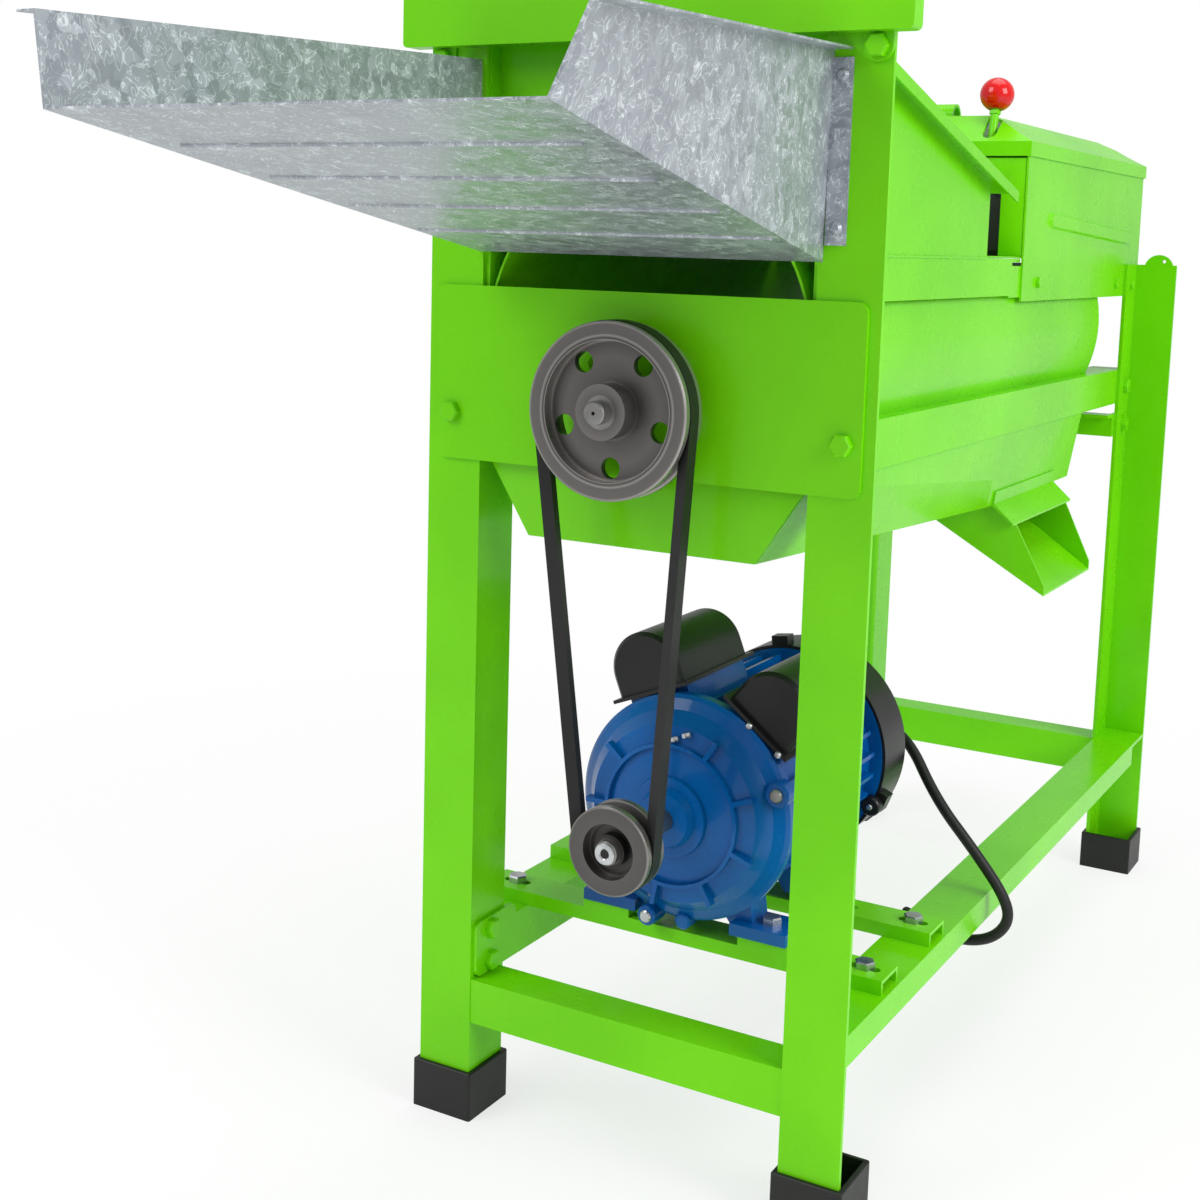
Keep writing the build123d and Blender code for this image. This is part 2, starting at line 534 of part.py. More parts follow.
with BuildPart() as grain_hopper:
    with BuildSketch(section(HOPPER_FRONT)):
        with BuildLine():
            Polyline((-hopper_hang, hopper_top), (-hopper_hang, hopper_knee),
                     (-HOPPER_EDGE_HALF, hopper_edge),
                     (HOPPER_EDGE_HALF, hopper_edge), (hopper_hang, hopper_knee), (hopper_hang,
                             hopper_top), close=True)
        make_face()
    extrude(amount=-(hopper_rear - HOPPER_FRONT))
    with BuildSketch(section(HOPPER_FRONT + SHEET)):
        with BuildLine():
            Polyline((-hopper_hang + SHEET, hopper_top), (-hopper_hang + SHEET, hopper_knee),
                     (-HOPPER_EDGE_HALF - 4 + SHEET, hopper_edge + HOPPER_FALL),
                     (HOPPER_EDGE_HALF - SHEET, hopper_edge + SHEET),
                     (hopper_hang - SHEET, hopper_knee), (hopper_hang - SHEET, hopper_top), close=True)
        make_face()
    extrude(amount=-(hopper_rear - HOPPER_FRONT - 2 * SHEET), mode=Mode.SUBTRACT)
    with BuildSketch(section(HOPPER_FRONT + SHEET)):
        with BuildLine():
            Polyline((-HOPPER_EDGE_HALF + SHEET, hopper_edge), (HOPPER_EDGE_HALF - SHEET, hopper_edge),
                     (-HOPPER_EDGE_HALF + SHEET, hopper_edge + HOPPER_FALL - SHEET), close=True)
        make_face()
    extrude(amount=-(hopper_rear - HOPPER_FRONT - 2 * SHEET), mode=Mode.SUBTRACT)
    with Locations((HOPPER_EDGE_HALF - SHEET - 1, (chute_front + chute_rear) / 2, hopper_edge)):
        Box(CHUTE_INSIDE, chute_rear - chute_front - 2 * SHEET - 2, 40,
            align=(Align.MAX, Align.CENTER, Align.CENTER),
            mode=Mode.SUBTRACT)
    for y in (HOPPER_FRONT, hopper_rear):
        with Locations((0, y, DRUM_Z)):
            Cylinder(CONCAVE_RADIUS + 1, 4 * SHEET, rotation=(90, 0, 0), mode=Mode.SUBTRACT)
    with Locations((0, FRONT + LEG_FLANGE / 2, mid_bolt_z)):
        Box(4 * INNER, BOLT_AF + 6, BOLT_AF + 6, mode=Mode.SUBTRACT)
grain_hopper.part.label = "grain_hopper"

# Chute: a tapering trough below the hopper's edge, open above its mouth
CHUTE_START_X = 66.0
CHUTE_LIP_X = 150.0      # low edge of the collar
CHUTE_LIP_DROP = 18.0
CHUTE_MOUTH_X = 180.0
CHUTE_MOUTH_DROP = 87.0
CHUTE_START_DROP = 17.0
chute_lip_z = hopper_edge - CHUTE_LIP_DROP
chute_mouth_z = hopper_edge - CHUTE_MOUTH_DROP
chute_start_z = hopper_edge - CHUTE_START_DROP
MOUTH_FRONT = FRONT + 515.0
MOUTH_REAR = FRONT + 690.0
MOUTH_RIM = 10.0


def chute_outline(x, inset, rise):
    """Front and rear edges, floor and rim of the trough at width x."""
    part_way = (x - CHUTE_START_X) / (CHUTE_MOUTH_X - CHUTE_START_X)
    y1 = chute_front + (MOUTH_FRONT - chute_front) * part_way + inset
    y2 = chute_rear + (MOUTH_REAR - chute_rear) * part_way - inset
    floor = chute_start_z + (chute_mouth_z - chute_start_z) * part_way + inset
    if x <= HOPPER_EDGE_HALF:
        rim = hopper_edge
    elif x <= CHUTE_LIP_X:
        share = (x - HOPPER_EDGE_HALF) / (CHUTE_LIP_X - HOPPER_EDGE_HALF)
        rim = hopper_edge + (chute_lip_z - hopper_edge) * share
    else:
        share = (x - CHUTE_LIP_X) / (CHUTE_MOUTH_X - CHUTE_LIP_X)
        rim = chute_lip_z + (chute_mouth_z + MOUTH_RIM - chute_lip_z) * share
    return [(y1, floor), (y2, floor), (y2, rim + rise), (y1, rim + rise)]


def chute_block(stations, inset, rise):
    with BuildPart() as block:
        for x1, x2 in zip(stations, stations[1:]):
            with BuildSketch(side(x1)):
                with BuildLine():
                    Polyline(*chute_outline(x1, inset, rise), close=True)
                make_face()
            with BuildSketch(side(x2)):
                with BuildLine():
                    Polyline(*chute_outline(x2, inset, rise), close=True)
                make_face()
            loft(ruled=True)
    return block.part


with BuildPart() as grain_chute:
    add(chute_block([CHUTE_START_X, HOPPER_EDGE_HALF, CHUTE_LIP_X, CHUTE_MOUTH_X], 0, 0))
    add(chute_block([CHUTE_START_X + SHEET, HOPPER_EDGE_HALF, CHUTE_LIP_X, CHUTE_MOUTH_X + SHEET], SHEET,
                    2 * SHEET),
        mode=Mode.SUBTRACT)
grain_chute.part.label = "grain_chute"

# Collar: the sloping plate that closes the chute's top below the hopper's edge
UPSTAND = 14.0
upstand_x = HOPPER_EDGE_HALF + UPSTAND * (hopper_hang - HOPPER_EDGE_HALF) / (hopper_knee - hopper_edge)
with BuildPart() as chute_collar:
    with BuildSketch(section(chute_front)):
        with BuildLine():
            Polyline((HOPPER_EDGE_HALF, hopper_edge), (CHUTE_LIP_X, chute_lip_z),
                     (CHUTE_LIP_X, chute_lip_z + SHEET),
                     (HOPPER_EDGE_HALF + SHEET + 1, hopper_edge + SHEET), (upstand_x + SHEET,
                             hopper_edge + UPSTAND),
                     (upstand_x, hopper_edge + UPSTAND), close=True)
        make_face()
    extrude(amount=-(chute_rear - chute_front))
chute_collar.part.label = "chute_collar"

# Concave: a slotted half shell below the drum, hung by its flanges on the mid rails' ledges
concave_front = HOPPER_FRONT + SHEET + FIT
concave_rear = hopper_rear - SHEET - FIT
CONCAVE_FLANGE_HALF = 122.0
SLOT_LENGTH = 48.0
SLOT_WIDTH = 13.0
SLOT_STATIONS = 10
concave_length = concave_rear - concave_front
slot_plane_list = []
for k in range(SLOT_STATIONS):
    y_slot = concave_front + concave_length * (k + 0.5) / SLOT_STATIONS
    for angle in (-66, -44, -22, 0, 22, 44, 66):
        a = radians(angle)
        slot_plane_list.append(Plane(origin=(CONCAVE_RADIUS * sin(a), y_slot,
                                             DRUM_Z - CONCAVE_RADIUS * cos(a)),
                                     x_dir=(0, 1, 0), z_dir=(sin(a), 0, -cos(a))))
with BuildPart() as concave:
    with BuildSketch(section(concave_front)):
        with Locations((0, DRUM_Z)):
            Circle(CONCAVE_RADIUS + CONCAVE_WALL)
            Circle(CONCAVE_RADIUS, mode=Mode.SUBTRACT)
        with Locations((0, MID_RAIL_TOP)):
            Rectangle(4 * CONCAVE_RADIUS, 4 * CONCAVE_RADIUS, align=(Align.CENTER, Align.MIN),
                      mode=Mode.SUBTRACT)
        for s in (1, -1):
            with Locations((s * (CONCAVE_RADIUS + CONCAVE_FLANGE_HALF) / 2, MID_RAIL_TOP)):
                Rectangle(CONCAVE_FLANGE_HALF - CONCAVE_RADIUS, CONCAVE_WALL, align=(Align.CENTER, Align.MIN))
    extrude(amount=-concave_length)
    with Locations(*slot_plane_list):
        Box(SLOT_LENGTH, SLOT_WIDTH, 6 * CONCAVE_WALL, mode=Mode.SUBTRACT)
concave.part.label = "concave"

# Rear plate of the housing: it carries the rear bearing and leaves a window for the cobs
WINDOW_BOTTOM = 655.0
with BuildPart() as housing_end_plate:
    with BuildSketch(section(HOUSING_END - HOUSING_END_WALL)):
        with Locations((0, HOUSING_Z)):
            Circle(HOUSING_RADIUS)
        with Locations((0, MID_RAIL_TOP)):
            Rectangle(4 * HOUSING_RADIUS, 4 * HOUSING_RADIUS, align=(Align.CENTER, Align.MAX),
                      mode=Mode.SUBTRACT)
        with Locations((0, housing_top)):
            Rectangle(4 * HOUSING_RADIUS, 4 * HOUSING_RADIUS, align=(Align.CENTER, Align.MIN),
                      mode=Mode.SUBTRACT)
        with Locations((0, MID_RAIL_TOP)):
            Rectangle(2 * (INNER - MID_RAIL_FLANGE), MID_RAIL_FLANGE, align=(Align.CENTER, Align.MAX))
        with Locations((0, MID_RAIL_TOP - BAR_WALL)):
            Rectangle(2 * (INNER - BAR_WALL), MID_RAIL_FLANGE - BAR_WALL, align=(Align.CENTER, Align.MAX))
        with Locations((0, DRUM_Z)):
            Circle(CONCAVE_RADIUS)
        with Locations((0, WINDOW_BOTTOM)):
            Rectangle(170, housing_top - WINDOW_BOTTOM + 1, align=(Align.CENTER, Align.MIN),
                      mode=Mode.SUBTRACT)
        with Locations((0, DRUM_Z)):
            Circle(SHAFT_RADIUS + 3, mode=Mode.SUBTRACT)
        with Locations(*bearing_bolts):
            Circle(BOLT_RADIUS + HOLE_GAP, mode=Mode.SUBTRACT)
    extrude(amount=-HOUSING_END_WALL)
housing_end_plate.part.label = "housing_end_plate"

# Drum shaft: stepped and centre-drilled at the pulley's end
SHAFT_FRONT = FRONT - 66.0
SHAFT_REAR = HOUSING_END + 36.0
STUB_RADIUS = 9.0
STUB_LENGTH = 10.0
with BuildPart() as drum_shaft:
    with BuildSketch(section(SHAFT_FRONT + STUB_LENGTH)):
        with Locations((0, DRUM_Z)):
            Circle(SHAFT_RADIUS)
    extrude(amount=-(SHAFT_REAR - SHAFT_FRONT - STUB_LENGTH))
    with BuildSketch(section(SHAFT_FRONT + STUB_LENGTH)):
        with Locations((0, DRUM_Z)):
            Circle(STUB_RADIUS)
    extrude(amount=STUB_LENGTH)
    chamfer(drum_shaft.faces().sort_by(Axis.Y)[0].edges(), 1)
    chamfer(drum_shaft.faces().sort_by(Axis.Y)[-1].edges(), 1)
    with Locations(facing_front(0, SHAFT_FRONT, DRUM_Z)):
        Cone(0.4, 2.6, 8, mode=Mode.SUBTRACT)
drum_shaft.part.label = "drum_shaft"

# Drum: a tube with spiral rows of pegs that rub the grain off, and paddles that throw out the cobs
DRUM_WALL = 4.0
TOOTH_PITCH = 56.0
TOOTH_TWIST = 24.0
PADDLE_LENGTH = 60.0
PADDLE_HEIGHT = 40.0
PADDLE_WALL = 5.0
drum_end = DRUM_FRONT + DRUM_LENGTH
tooth_planes = []
for row in range(TOOTH_ROWS):
    for k in range(TEETH_PER_ROW):
        a = radians(360 * row / TOOTH_ROWS + TOOTH_TWIST * k)
        y_tooth = DRUM_FRONT + 40 + TOOTH_PITCH * (k + row / TOOTH_ROWS)
        tooth_planes.append(Plane(origin=((DRUM_RADIUS - 1) * sin(a), y_tooth,
                                          DRUM_Z + (DRUM_RADIUS - 1) * cos(a)),
                                  x_dir=(0, 1, 0), z_dir=(sin(a), 0, cos(a))))
with BuildPart() as tooth:
    with BuildSketch(Plane.XY):
        Rectangle(2 * TOOTH_SIZE, TOOTH_SIZE)
    extrude(amount=TOOTH_HEIGHT + 1, taper=12)
with BuildPart() as shelling_drum:
    with BuildSketch(section(DRUM_FRONT)):
        with Locations((0, DRUM_Z)):
            Circle(DRUM_RADIUS)
    extrude(amount=-DRUM_LENGTH)
    with BuildSketch(section(DRUM_FRONT + DRUM_WALL)):
        with Locations((0, DRUM_Z)):
            Circle(DRUM_RADIUS - DRUM_WALL)
    extrude(amount=-(DRUM_LENGTH - 2 * DRUM_WALL), mode=Mode.SUBTRACT)
    with BuildSketch(section(DRUM_FRONT)):
        with Locations((0, DRUM_Z)):
            Circle(SHAFT_RADIUS + RUN_FIT)
    extrude(amount=-DRUM_LENGTH, mode=Mode.SUBTRACT)
    with Locations(*tooth_planes):
        add(tooth.part)
shelling_drum.part.label = "shelling_drum"

# Paddles: four plates at the drum's rear that throw the cobs out
with BuildPart() as drum_paddles:
    with Locations([Plane(origin=(0, drum_end - PADDLE_LENGTH / 2, DRUM_Z), x_dir=(0, 1, 0),
                          z_dir=(sin(radians(a)), 0, cos(radians(a)))) for a in (0, 90, 180, 270)]):
        with Locations((0, 0, DRUM_RADIUS - 1)):
            Box(PADDLE_LENGTH, PADDLE_WALL, PADDLE_HEIGHT, align=(Align.CENTER, Align.CENTER, Align.MIN))
    add(shelling_drum.part, mode=Mode.SUBTRACT)
drum_paddles.part.label = "drum_paddles"

# Flange bearings behind the front plate and behind the housing's rear plate
BEARING_REAR = HOUSING_END


def flange_bearing(y, sign):
    """Square-flanged bearing unit whose mounting face lies at depth y."""
    with BuildPart() as unit:
        with BuildSketch(section(y)):
            with Locations((0, DRUM_Z)):
                RectangleRounded(BEARING_FLANGE, BEARING_FLANGE, 10)
        extrude(amount=-sign * BEARING_FLANGE_WALL)
        with BuildSketch(section(y)):
            with Locations((0, DRUM_Z)):
                Circle(BEARING_BOSS)
        extrude(amount=-sign * BEARING_DEPTH)
        chamfer(unit.faces().sort_by(Axis.Y)[-1 if sign > 0 else 0].edges(), 2)
        with BuildSketch(section(y)):
            with Locations((0, DRUM_Z)):
                Circle(SHAFT_RADIUS + RUN_FIT)
            with Locations(*bearing_bolts):
                Circle(BOLT_RADIUS + HOLE_GAP)
        extrude(amount=-sign * BEARING_DEPTH, mode=Mode.SUBTRACT)
    return unit.part


with BuildPart() as drum_bearings:
    add(flange_bearing(FRONT, 1))
    add(flange_bearing(BEARING_REAR, 1))
drum_bearings.part.label = "drum_bearings"

# Rear cover: two side walls with a pressed rib, bolted to the cover bars and the rear legs
COVER_FRONT = FRONT + 505.0
COVER_OVERHANG = 17.7
cover_rear = REAR + COVER_OVERHANG
COVER_BOTTOM = 696.0
COVER_WALL_TOP = 845.0
COVER_LIP_Z = 835.0
RIB_HEIGHT = 3.0
RIB_WIDTH = 16.0
rib_ends = [(FRONT + 597.0, 776.0), (FRONT + 931.0, 763.0)]
rib_angle = degrees(atan2(rib_ends[1][1] - rib_ends[0][1], rib_ends[1][0] - rib_ends[0][0]))
rib_middle = ((rib_ends[0][0] + rib_ends[1][0]) / 2, (rib_ends[0][1] + rib_ends[1][1]) / 2)
rib_length = hypot(rib_ends[1][0] - rib_ends[0][0], rib_ends[1][1] - rib_ends[0][1])
GATE_Y = COVER_FRONT + 14.0
GATE_Z = 838.0
GATE_SHAFT_RADIUS = 5.0
with BuildPart() as cover_right_wall:
    with BuildSketch(side(INNER - SHEET)):
        with Locations(((COVER_FRONT + cover_rear) / 2, (COVER_BOTTOM + COVER_WALL_TOP) / 2)):
            Rectangle(cover_rear - COVER_FRONT, COVER_WALL_TOP - COVER_BOTTOM)
        with Locations(*cover_bolts_at):
            Circle(SMALL_BOLT_RADIUS + HOLE_GAP, mode=Mode.SUBTRACT)
        with Locations((GATE_Y, GATE_Z)):
            Circle(GATE_SHAFT_RADIUS + RUN_FIT, mode=Mode.SUBTRACT)
    extrude(amount=SHEET)
    with BuildSketch(side(INNER)):
        with Locations(Location((*rib_middle, 0), (0, 0, rib_angle))):
            SlotOverall(rib_length + RIB_WIDTH, RIB_WIDTH)
    extrude(amount=RIB_HEIGHT, taper=35)
    with BuildSketch(side(INNER - SHEET)):
        with Locations(Location((*rib_middle, 0), (0, 0, rib_angle))):
            SlotOverall(rib_length + RIB_WIDTH - 2 * SHEET, RIB_WIDTH - 2 * SHEET)
    extrude(amount=RIB_HEIGHT, taper=35, mode=Mode.SUBTRACT)
cover_right_wall.part.label = "cover_right_wall"

with BuildPart() as cover_left_wall:
    mirror(cover_right_wall.part, about=Plane.YZ)
cover_left_wall.part.label = "cover_left_wall"

# Cover roof: a hipped sheet lid whose lip hangs outside the walls
ROOF_TOP = 876.0
HIP_RUN = 34.0
ROOF_GAP = FIT


def hip_solid(inset):
    """Solid under the hipped roof's outer faces, moved inwards by inset."""
    half = INNER + ROOF_GAP + SHEET - inset
    with BuildPart() as hip:
        with BuildSketch(section(COVER_FRONT - ROOF_GAP - SHEET + inset)):
            with BuildLine():
                Polyline((-half, COVER_LIP_Z), (half, COVER_LIP_Z), (half, 849 - inset),
                         (half - 19, 859 - inset),
                         (half - 32, 867 - inset), (half - 52, ROOF_TOP - inset), (52 - half,
                                 ROOF_TOP - inset),
                         (32 - half, 867 - inset), (19 - half, 859 - inset), (-half, 849 - inset), close=True)
            make_face()
        extrude(amount=-(cover_rear - COVER_FRONT + 2 * (ROOF_GAP + SHEET - inset)))
        with BuildSketch(side(-half)):
            with BuildLine():
                Polyline((COVER_FRONT - ROOF_GAP - SHEET + inset, COVER_LIP_Z),
                         (cover_rear + ROOF_GAP + SHEET - inset, COVER_LIP_Z),
                         (cover_rear + ROOF_GAP + SHEET - inset, 849 - inset),
                         (cover_rear + ROOF_GAP + SHEET - inset - HIP_RUN, ROOF_TOP - inset),
                         (COVER_FRONT - ROOF_GAP - SHEET + inset + HIP_RUN, ROOF_TOP - inset),
                         (COVER_FRONT - ROOF_GAP - SHEET + inset, 849 - inset), close=True)
            make_face()
        extrude(amount=2 * half, mode=Mode.INTERSECT)
    return hip.part


# Gate lever: its stud leans back at rest and travels in the roof's slot
LEVER_X = 100.0
GATE_FORWARD = 20.0      # degrees of travel from rest, towards the front
GATE_BACK = 12.0
STUD_RADIUS = 4.0
STUD_LENGTH = 50.0
STUD_LEAN = 11.0
STUD_NUT_AT = 39.0
STUD_NUT_HALF = 5.0
LEVER_SLOT_WIDTH = 14.0
LEVER_SLOT_GAP = 2.0
stud_reach = (ROOF_TOP - GATE_Z) * tan(radians(GATE_FORWARD - STUD_LEAN)) + STUD_RADIUS
slot_front = GATE_Y - stud_reach - LEVER_SLOT_GAP
nut_reach = STUD_NUT_AT * sin(radians(STUD_LEAN + GATE_BACK)) + STUD_NUT_HALF / cos(radians(30))
slot_rear = GATE_Y + nut_reach + LEVER_SLOT_GAP
with BuildPart() as cover_roof:
    add(hip_solid(0))
    add(hip_solid(SHEET), mode=Mode.SUBTRACT)
    with BuildSketch(Plane.XY.offset(GATE_Z)):
        with Locations(Location((LEVER_X, (slot_front + slot_rear) / 2, 0), (0, 0, 90))):
            SlotOverall(slot_rear - slot_front, LEVER_SLOT_WIDTH)
    extrude(amount=2 * (ROOF_TOP - GATE_Z), mode=Mode.SUBTRACT)
cover_roof.part.label = "cover_roof"

# Cover end plate: inset between the walls at the front, with a notch at its right end
END_PLATE_INSET = 3.0
with BuildPart() as cover_end_plate:
    with BuildSketch(section(COVER_FRONT + END_PLATE_INSET)):
        with Locations((0, 744)):
            Rectangle(2 * (INNER - SHEET), 820 - 744, align=(Align.CENTER, Align.MIN))
        with Locations((INNER - SHEET - 20, 800)):
            SlotOverall(22, 10, mode=Mode.SUBTRACT)
    extrude(amount=-SHEET)
cover_end_plate.part.label = "cover_end_plate"

# Cob gate: a plate on a cross rod; its stud comes up through the roof's slot to the knob
GATE_REACH = 88.0
GATE_HALF = 128.0
KNOB_RADIUS = 16.5
gate_tilt = 12.0
with BuildPart() as cob_gate:
    with BuildSketch(side(-INNER)):
        with Locations((GATE_Y, GATE_Z)):
            Circle(GATE_SHAFT_RADIUS)
    extrude(amount=2 * INNER)
    with BuildSketch(side(-GATE_HALF)):
        with Locations(Location((GATE_Y, GATE_Z, 0), (0, 0, -gate_tilt))):
            Rectangle(GATE_REACH, SHEET + 1, align=(Align.MIN, Align.CENTER))
    extrude(amount=2 * GATE_HALF)
cob_gate.part.label = "cob_gate"

stud_plane = Plane(origin=(LEVER_X, GATE_Y, GATE_Z), x_dir=(1, 0, 0),
                   z_dir=(0, sin(radians(STUD_LEAN)), cos(radians(STUD_LEAN))))
with BuildPart() as gate_stud:
    with BuildSketch(stud_plane.offset(GATE_SHAFT_RADIUS - 0.5)):
        Circle(STUD_RADIUS)
    extrude(amount=STUD_LENGTH - GATE_SHAFT_RADIUS + 0.5)
    add(cob_gate.part, mode=Mode.SUBTRACT)
    with BuildSketch(stud_plane.offset(STUD_NUT_AT)):
        RegularPolygon(STUD_NUT_HALF, 6, major_radius=False)
    extrude(amount=3)
gate_stud.part.label = "gate_stud"

with BuildPart() as gate_knob:
    with BuildSketch(Plane(origin=stud_plane.origin, x_dir=(1, 0, 0), z_dir=(0, -cos(radians(STUD_LEAN)),
                                                                           sin(radians(STUD_LEAN))))):
        with Locations((0, STUD_LENGTH + KNOB_RADIUS - 8)):
            Circle(KNOB_RADIUS)
        with Locations((0, STUD_LENGTH + KNOB_RADIUS - 8)):
            Rectangle(2 * KNOB_RADIUS, 2 * KNOB_RADIUS, align=(Align.MAX, Align.CENTER), mode=Mode.SUBTRACT)
        Rectangle(2 * KNOB_RADIUS, STUD_LENGTH - 6, align=(Align.CENTER, Align.MIN), mode=Mode.SUBTRACT)
        Rectangle(STUD_RADIUS + RUN_FIT, STUD_LENGTH, align=(Align.MIN, Align.MIN), mode=Mode.SUBTRACT)
    revolve(axis=Axis(stud_plane.origin, stud_plane.z_dir))
gate_knob.part.label = "gate_knob"

# Lifting lug on the roof's front edge: a bent strap
LUG_X = 40.0
with BuildPart() as roof_lug:
    with BuildSketch(side(LUG_X - 12)):
        with Locations((COVER_FRONT + HIP_RUN + 16, ROOF_TOP)):
            Circle(13)
            Circle(10, mode=Mode.SUBTRACT)
            Rectangle(30, 30, align=(Align.CENTER, Align.MAX), mode=Mode.SUBTRACT)
            with Locations((12.5, 0), (-12.5, 0)):
                Rectangle(9, 3, align=(Align.CENTER, Align.MIN))
    extrude(amount=24)
roof_lug.part.label = "roof_lug"

# Drum pulley: V groove, dished web with round windows, long hub
HUB_RADIUS = 21.0
HUB_FRONT = 8.0          # how far the hub stands in front of the rim
RIM_WALL = 5.0
WEB_WALL = 6.0
WINDOW_RADIUS = 8.0
WINDOW_PITCH = 43.0
WINDOW_COUNT = 5
BELT_GAP = 0.4
BELT_PROUD = 0.5
BELT_BOTTOM_WIDTH = 7.0
belt_y = PULLEY_FRONT + PULLEY_WIDTH / 2


def pulley_blank(x, z, radius, dish, hub, hub_front, bore):
    """Turned pulley: profile of radius against depth, revolved about the shaft's axis."""
    groove_top = BELT_TOP_WIDTH / 2 + BELT_GAP
    groove_bottom = BELT_BOTTOM_WIDTH / 2 + BELT_GAP
    depth = BELT_HEIGHT - BELT_PROUD + 2
    back = PULLEY_FRONT + PULLEY_WIDTH
    web = belt_y - WEB_WALL / 2
    with BuildPart() as blank:
        with BuildSketch(side(x)):
            with BuildLine():
                Polyline((PULLEY_FRONT - hub_front, z + bore), (PULLEY_FRONT - hub_front, z + hub),
                         (web, z + hub), (web, z + dish), (PULLEY_FRONT, z + dish),
                         (PULLEY_FRONT, z + radius - 1), (PULLEY_FRONT + 1, z + radius),
                         (belt_y - groove_top, z + radius), (belt_y - groove_bottom, z + radius - depth),
                         (belt_y + groove_bottom, z + radius - depth), (belt_y + groove_top, z + radius),
                         (back - 1, z + radius), (back, z + radius - 1), (back, z + dish),
                         (web + WEB_WALL, z + dish), (web + WEB_WALL, z + hub), (back, z + hub),
                         (back, z + bore), close=True)
            make_face()
        revolve(axis=Axis((x, 0, z), (0, 1, 0)))
    return blank.part


with BuildPart() as drum_pulley:
    add(pulley_blank(0, DRUM_Z, PULLEY_RADIUS, PULLEY_RADIUS - BELT_HEIGHT - RIM_WALL, HUB_RADIUS, HUB_FRONT,
                     SHAFT_RADIUS + RUN_FIT))
    with Locations(facing_front(0, belt_y, DRUM_Z)):
        with PolarLocations(WINDOW_PITCH, WINDOW_COUNT, start_angle=-90):
            Cylinder(WINDOW_RADIUS, 3 * WEB_WALL, mode=Mode.SUBTRACT)
drum_pulley.part.label = "drum_pulley"

MOTOR_SHAFT_RADIUS = 9.5
MOTOR_HUB_RADIUS = 13.0
with BuildPart() as motor_pulley:
    add(pulley_blank(MOTOR_X, MOTOR_Z, MOTOR_PULLEY_RADIUS, MOTOR_PULLEY_RADIUS - BELT_HEIGHT - 4,
                     MOTOR_HUB_RADIUS, -2, MOTOR_SHAFT_RADIUS + RUN_FIT))
motor_pulley.part.label = "motor_pulley"



def belt_outline(y, inset):
    """Face inside the belt's loop at depth y, inset from its outer surface."""
    with BuildSketch(section(y)) as outline:
        with Locations((0, DRUM_Z)):
            Circle(PULLEY_RADIUS + BELT_PROUD - inset)
        with Locations((MOTOR_X, MOTOR_Z)):
            Circle(MOTOR_PULLEY_RADIUS + BELT_PROUD - inset)
        make_hull()
    return outline.sketch.faces()[0]


# Belt: a ring round both pulleys, its flanks cut to a wedge
with BuildPart() as v_belt:
    extrude(belt_outline(belt_y, 0), amount=BELT_TOP_WIDTH / 2, both=True)
    extrude(belt_outline(belt_y, BELT_HEIGHT), amount=BELT_TOP_WIDTH, both=True, mode=Mode.SUBTRACT)
    for toward in (1, -1):
        loft([belt_outline(belt_y + toward * BELT_BOTTOM_WIDTH / 2, BELT_HEIGHT),
              belt_outline(belt_y + toward * BELT_TOP_WIDTH / 2, 0)], mode=Mode.SUBTRACT)
v_belt.part.label = "v_belt"

# Motor: foot-mounted, front shield towards the belt
MOTOR_BASE_Z = 183.0
BODY_RADIUS = 80.0
FIN_HEIGHT = 8.0
FIN_COUNT = 28
SHIELD_RADIUS = 95.0
SHIELD_FACE = FRONT + 48.0
SHIELD_RIM = FRONT + 76.0
BODY_FRONT = FRONT + 90.0
BODY_REAR = FRONT + 288.0
FAN_COVER_REAR = FRONT + 352.0
AIR_GAP = 1.0
ROTOR_RADIUS = 48.0
SHAFT_BORE = MOTOR_SHAFT_RADIUS + RUN_FIT
motor_axis = Axis((MOTOR_X, 0, MOTOR_Z), (0, 1, 0))
FOOT_BOLT_X = 73.0
FOOT_WIDTH = 40.0
FOOT_THICK = 10.0


def turned(points):
    """Solid of revolution about the motor's axis from (depth, radius) points."""
    with BuildPart() as solid:
        with BuildSketch(side(MOTOR_X)):
            with BuildLine():
                Polyline(*[(y, MOTOR_Z + r) for y, r in points], close=True)
            make_face()
        revolve(axis=motor_axis)
    return solid.part


def motor_radial(angle, radius, y):
    """Plane on the motor at an angle from straight up, facing outwards."""
    a = radians(angle)
    return Plane(origin=(MOTOR_X + radius * sin(a), y, MOTOR_Z + radius * cos(a)), x_dir=(0, 1, 0),
                 z_dir=(sin(a), 0, cos(a)))


def motor_section(angle, y):
    """Plane across the motor at depth y, its sketch Y axis at an angle from straight up."""
    a = radians(angle)
    return Plane(origin=(MOTOR_X, y, MOTOR_Z), x_dir=(cos(a), 0, -sin(a)), z_dir=(0, -1, 0))


CAP_ANGLES = (-22.0, 38.0)
CAP_SEAT = SHIELD_RADIUS + 1.0
CAP_FRONT = FRONT + 84.0
CAP_REAR = FRONT + 205.0
CAP_WIDTH = 64.0
CAP_SIDE = 17.0
CAP_BASE = 3.0
with BuildPart() as motor_shaft:
    add(turned([(PULLEY_FRONT - 4, 0), (PULLEY_FRONT - 4, MOTOR_SHAFT_RADIUS - 1),
                (PULLEY_FRONT - 3, MOTOR_SHAFT_RADIUS),
                (BODY_FRONT + 20, MOTOR_SHAFT_RADIUS), (BODY_FRONT + 20, ROTOR_RADIUS),
                (BODY_REAR - 36, ROTOR_RADIUS), (BODY_REAR - 36, MOTOR_SHAFT_RADIUS),
                (FAN_COVER_REAR - 14, MOTOR_SHAFT_RADIUS), (FAN_COVER_REAR - 14, 0)]))
motor_shaft.part.label = "motor_shaft"

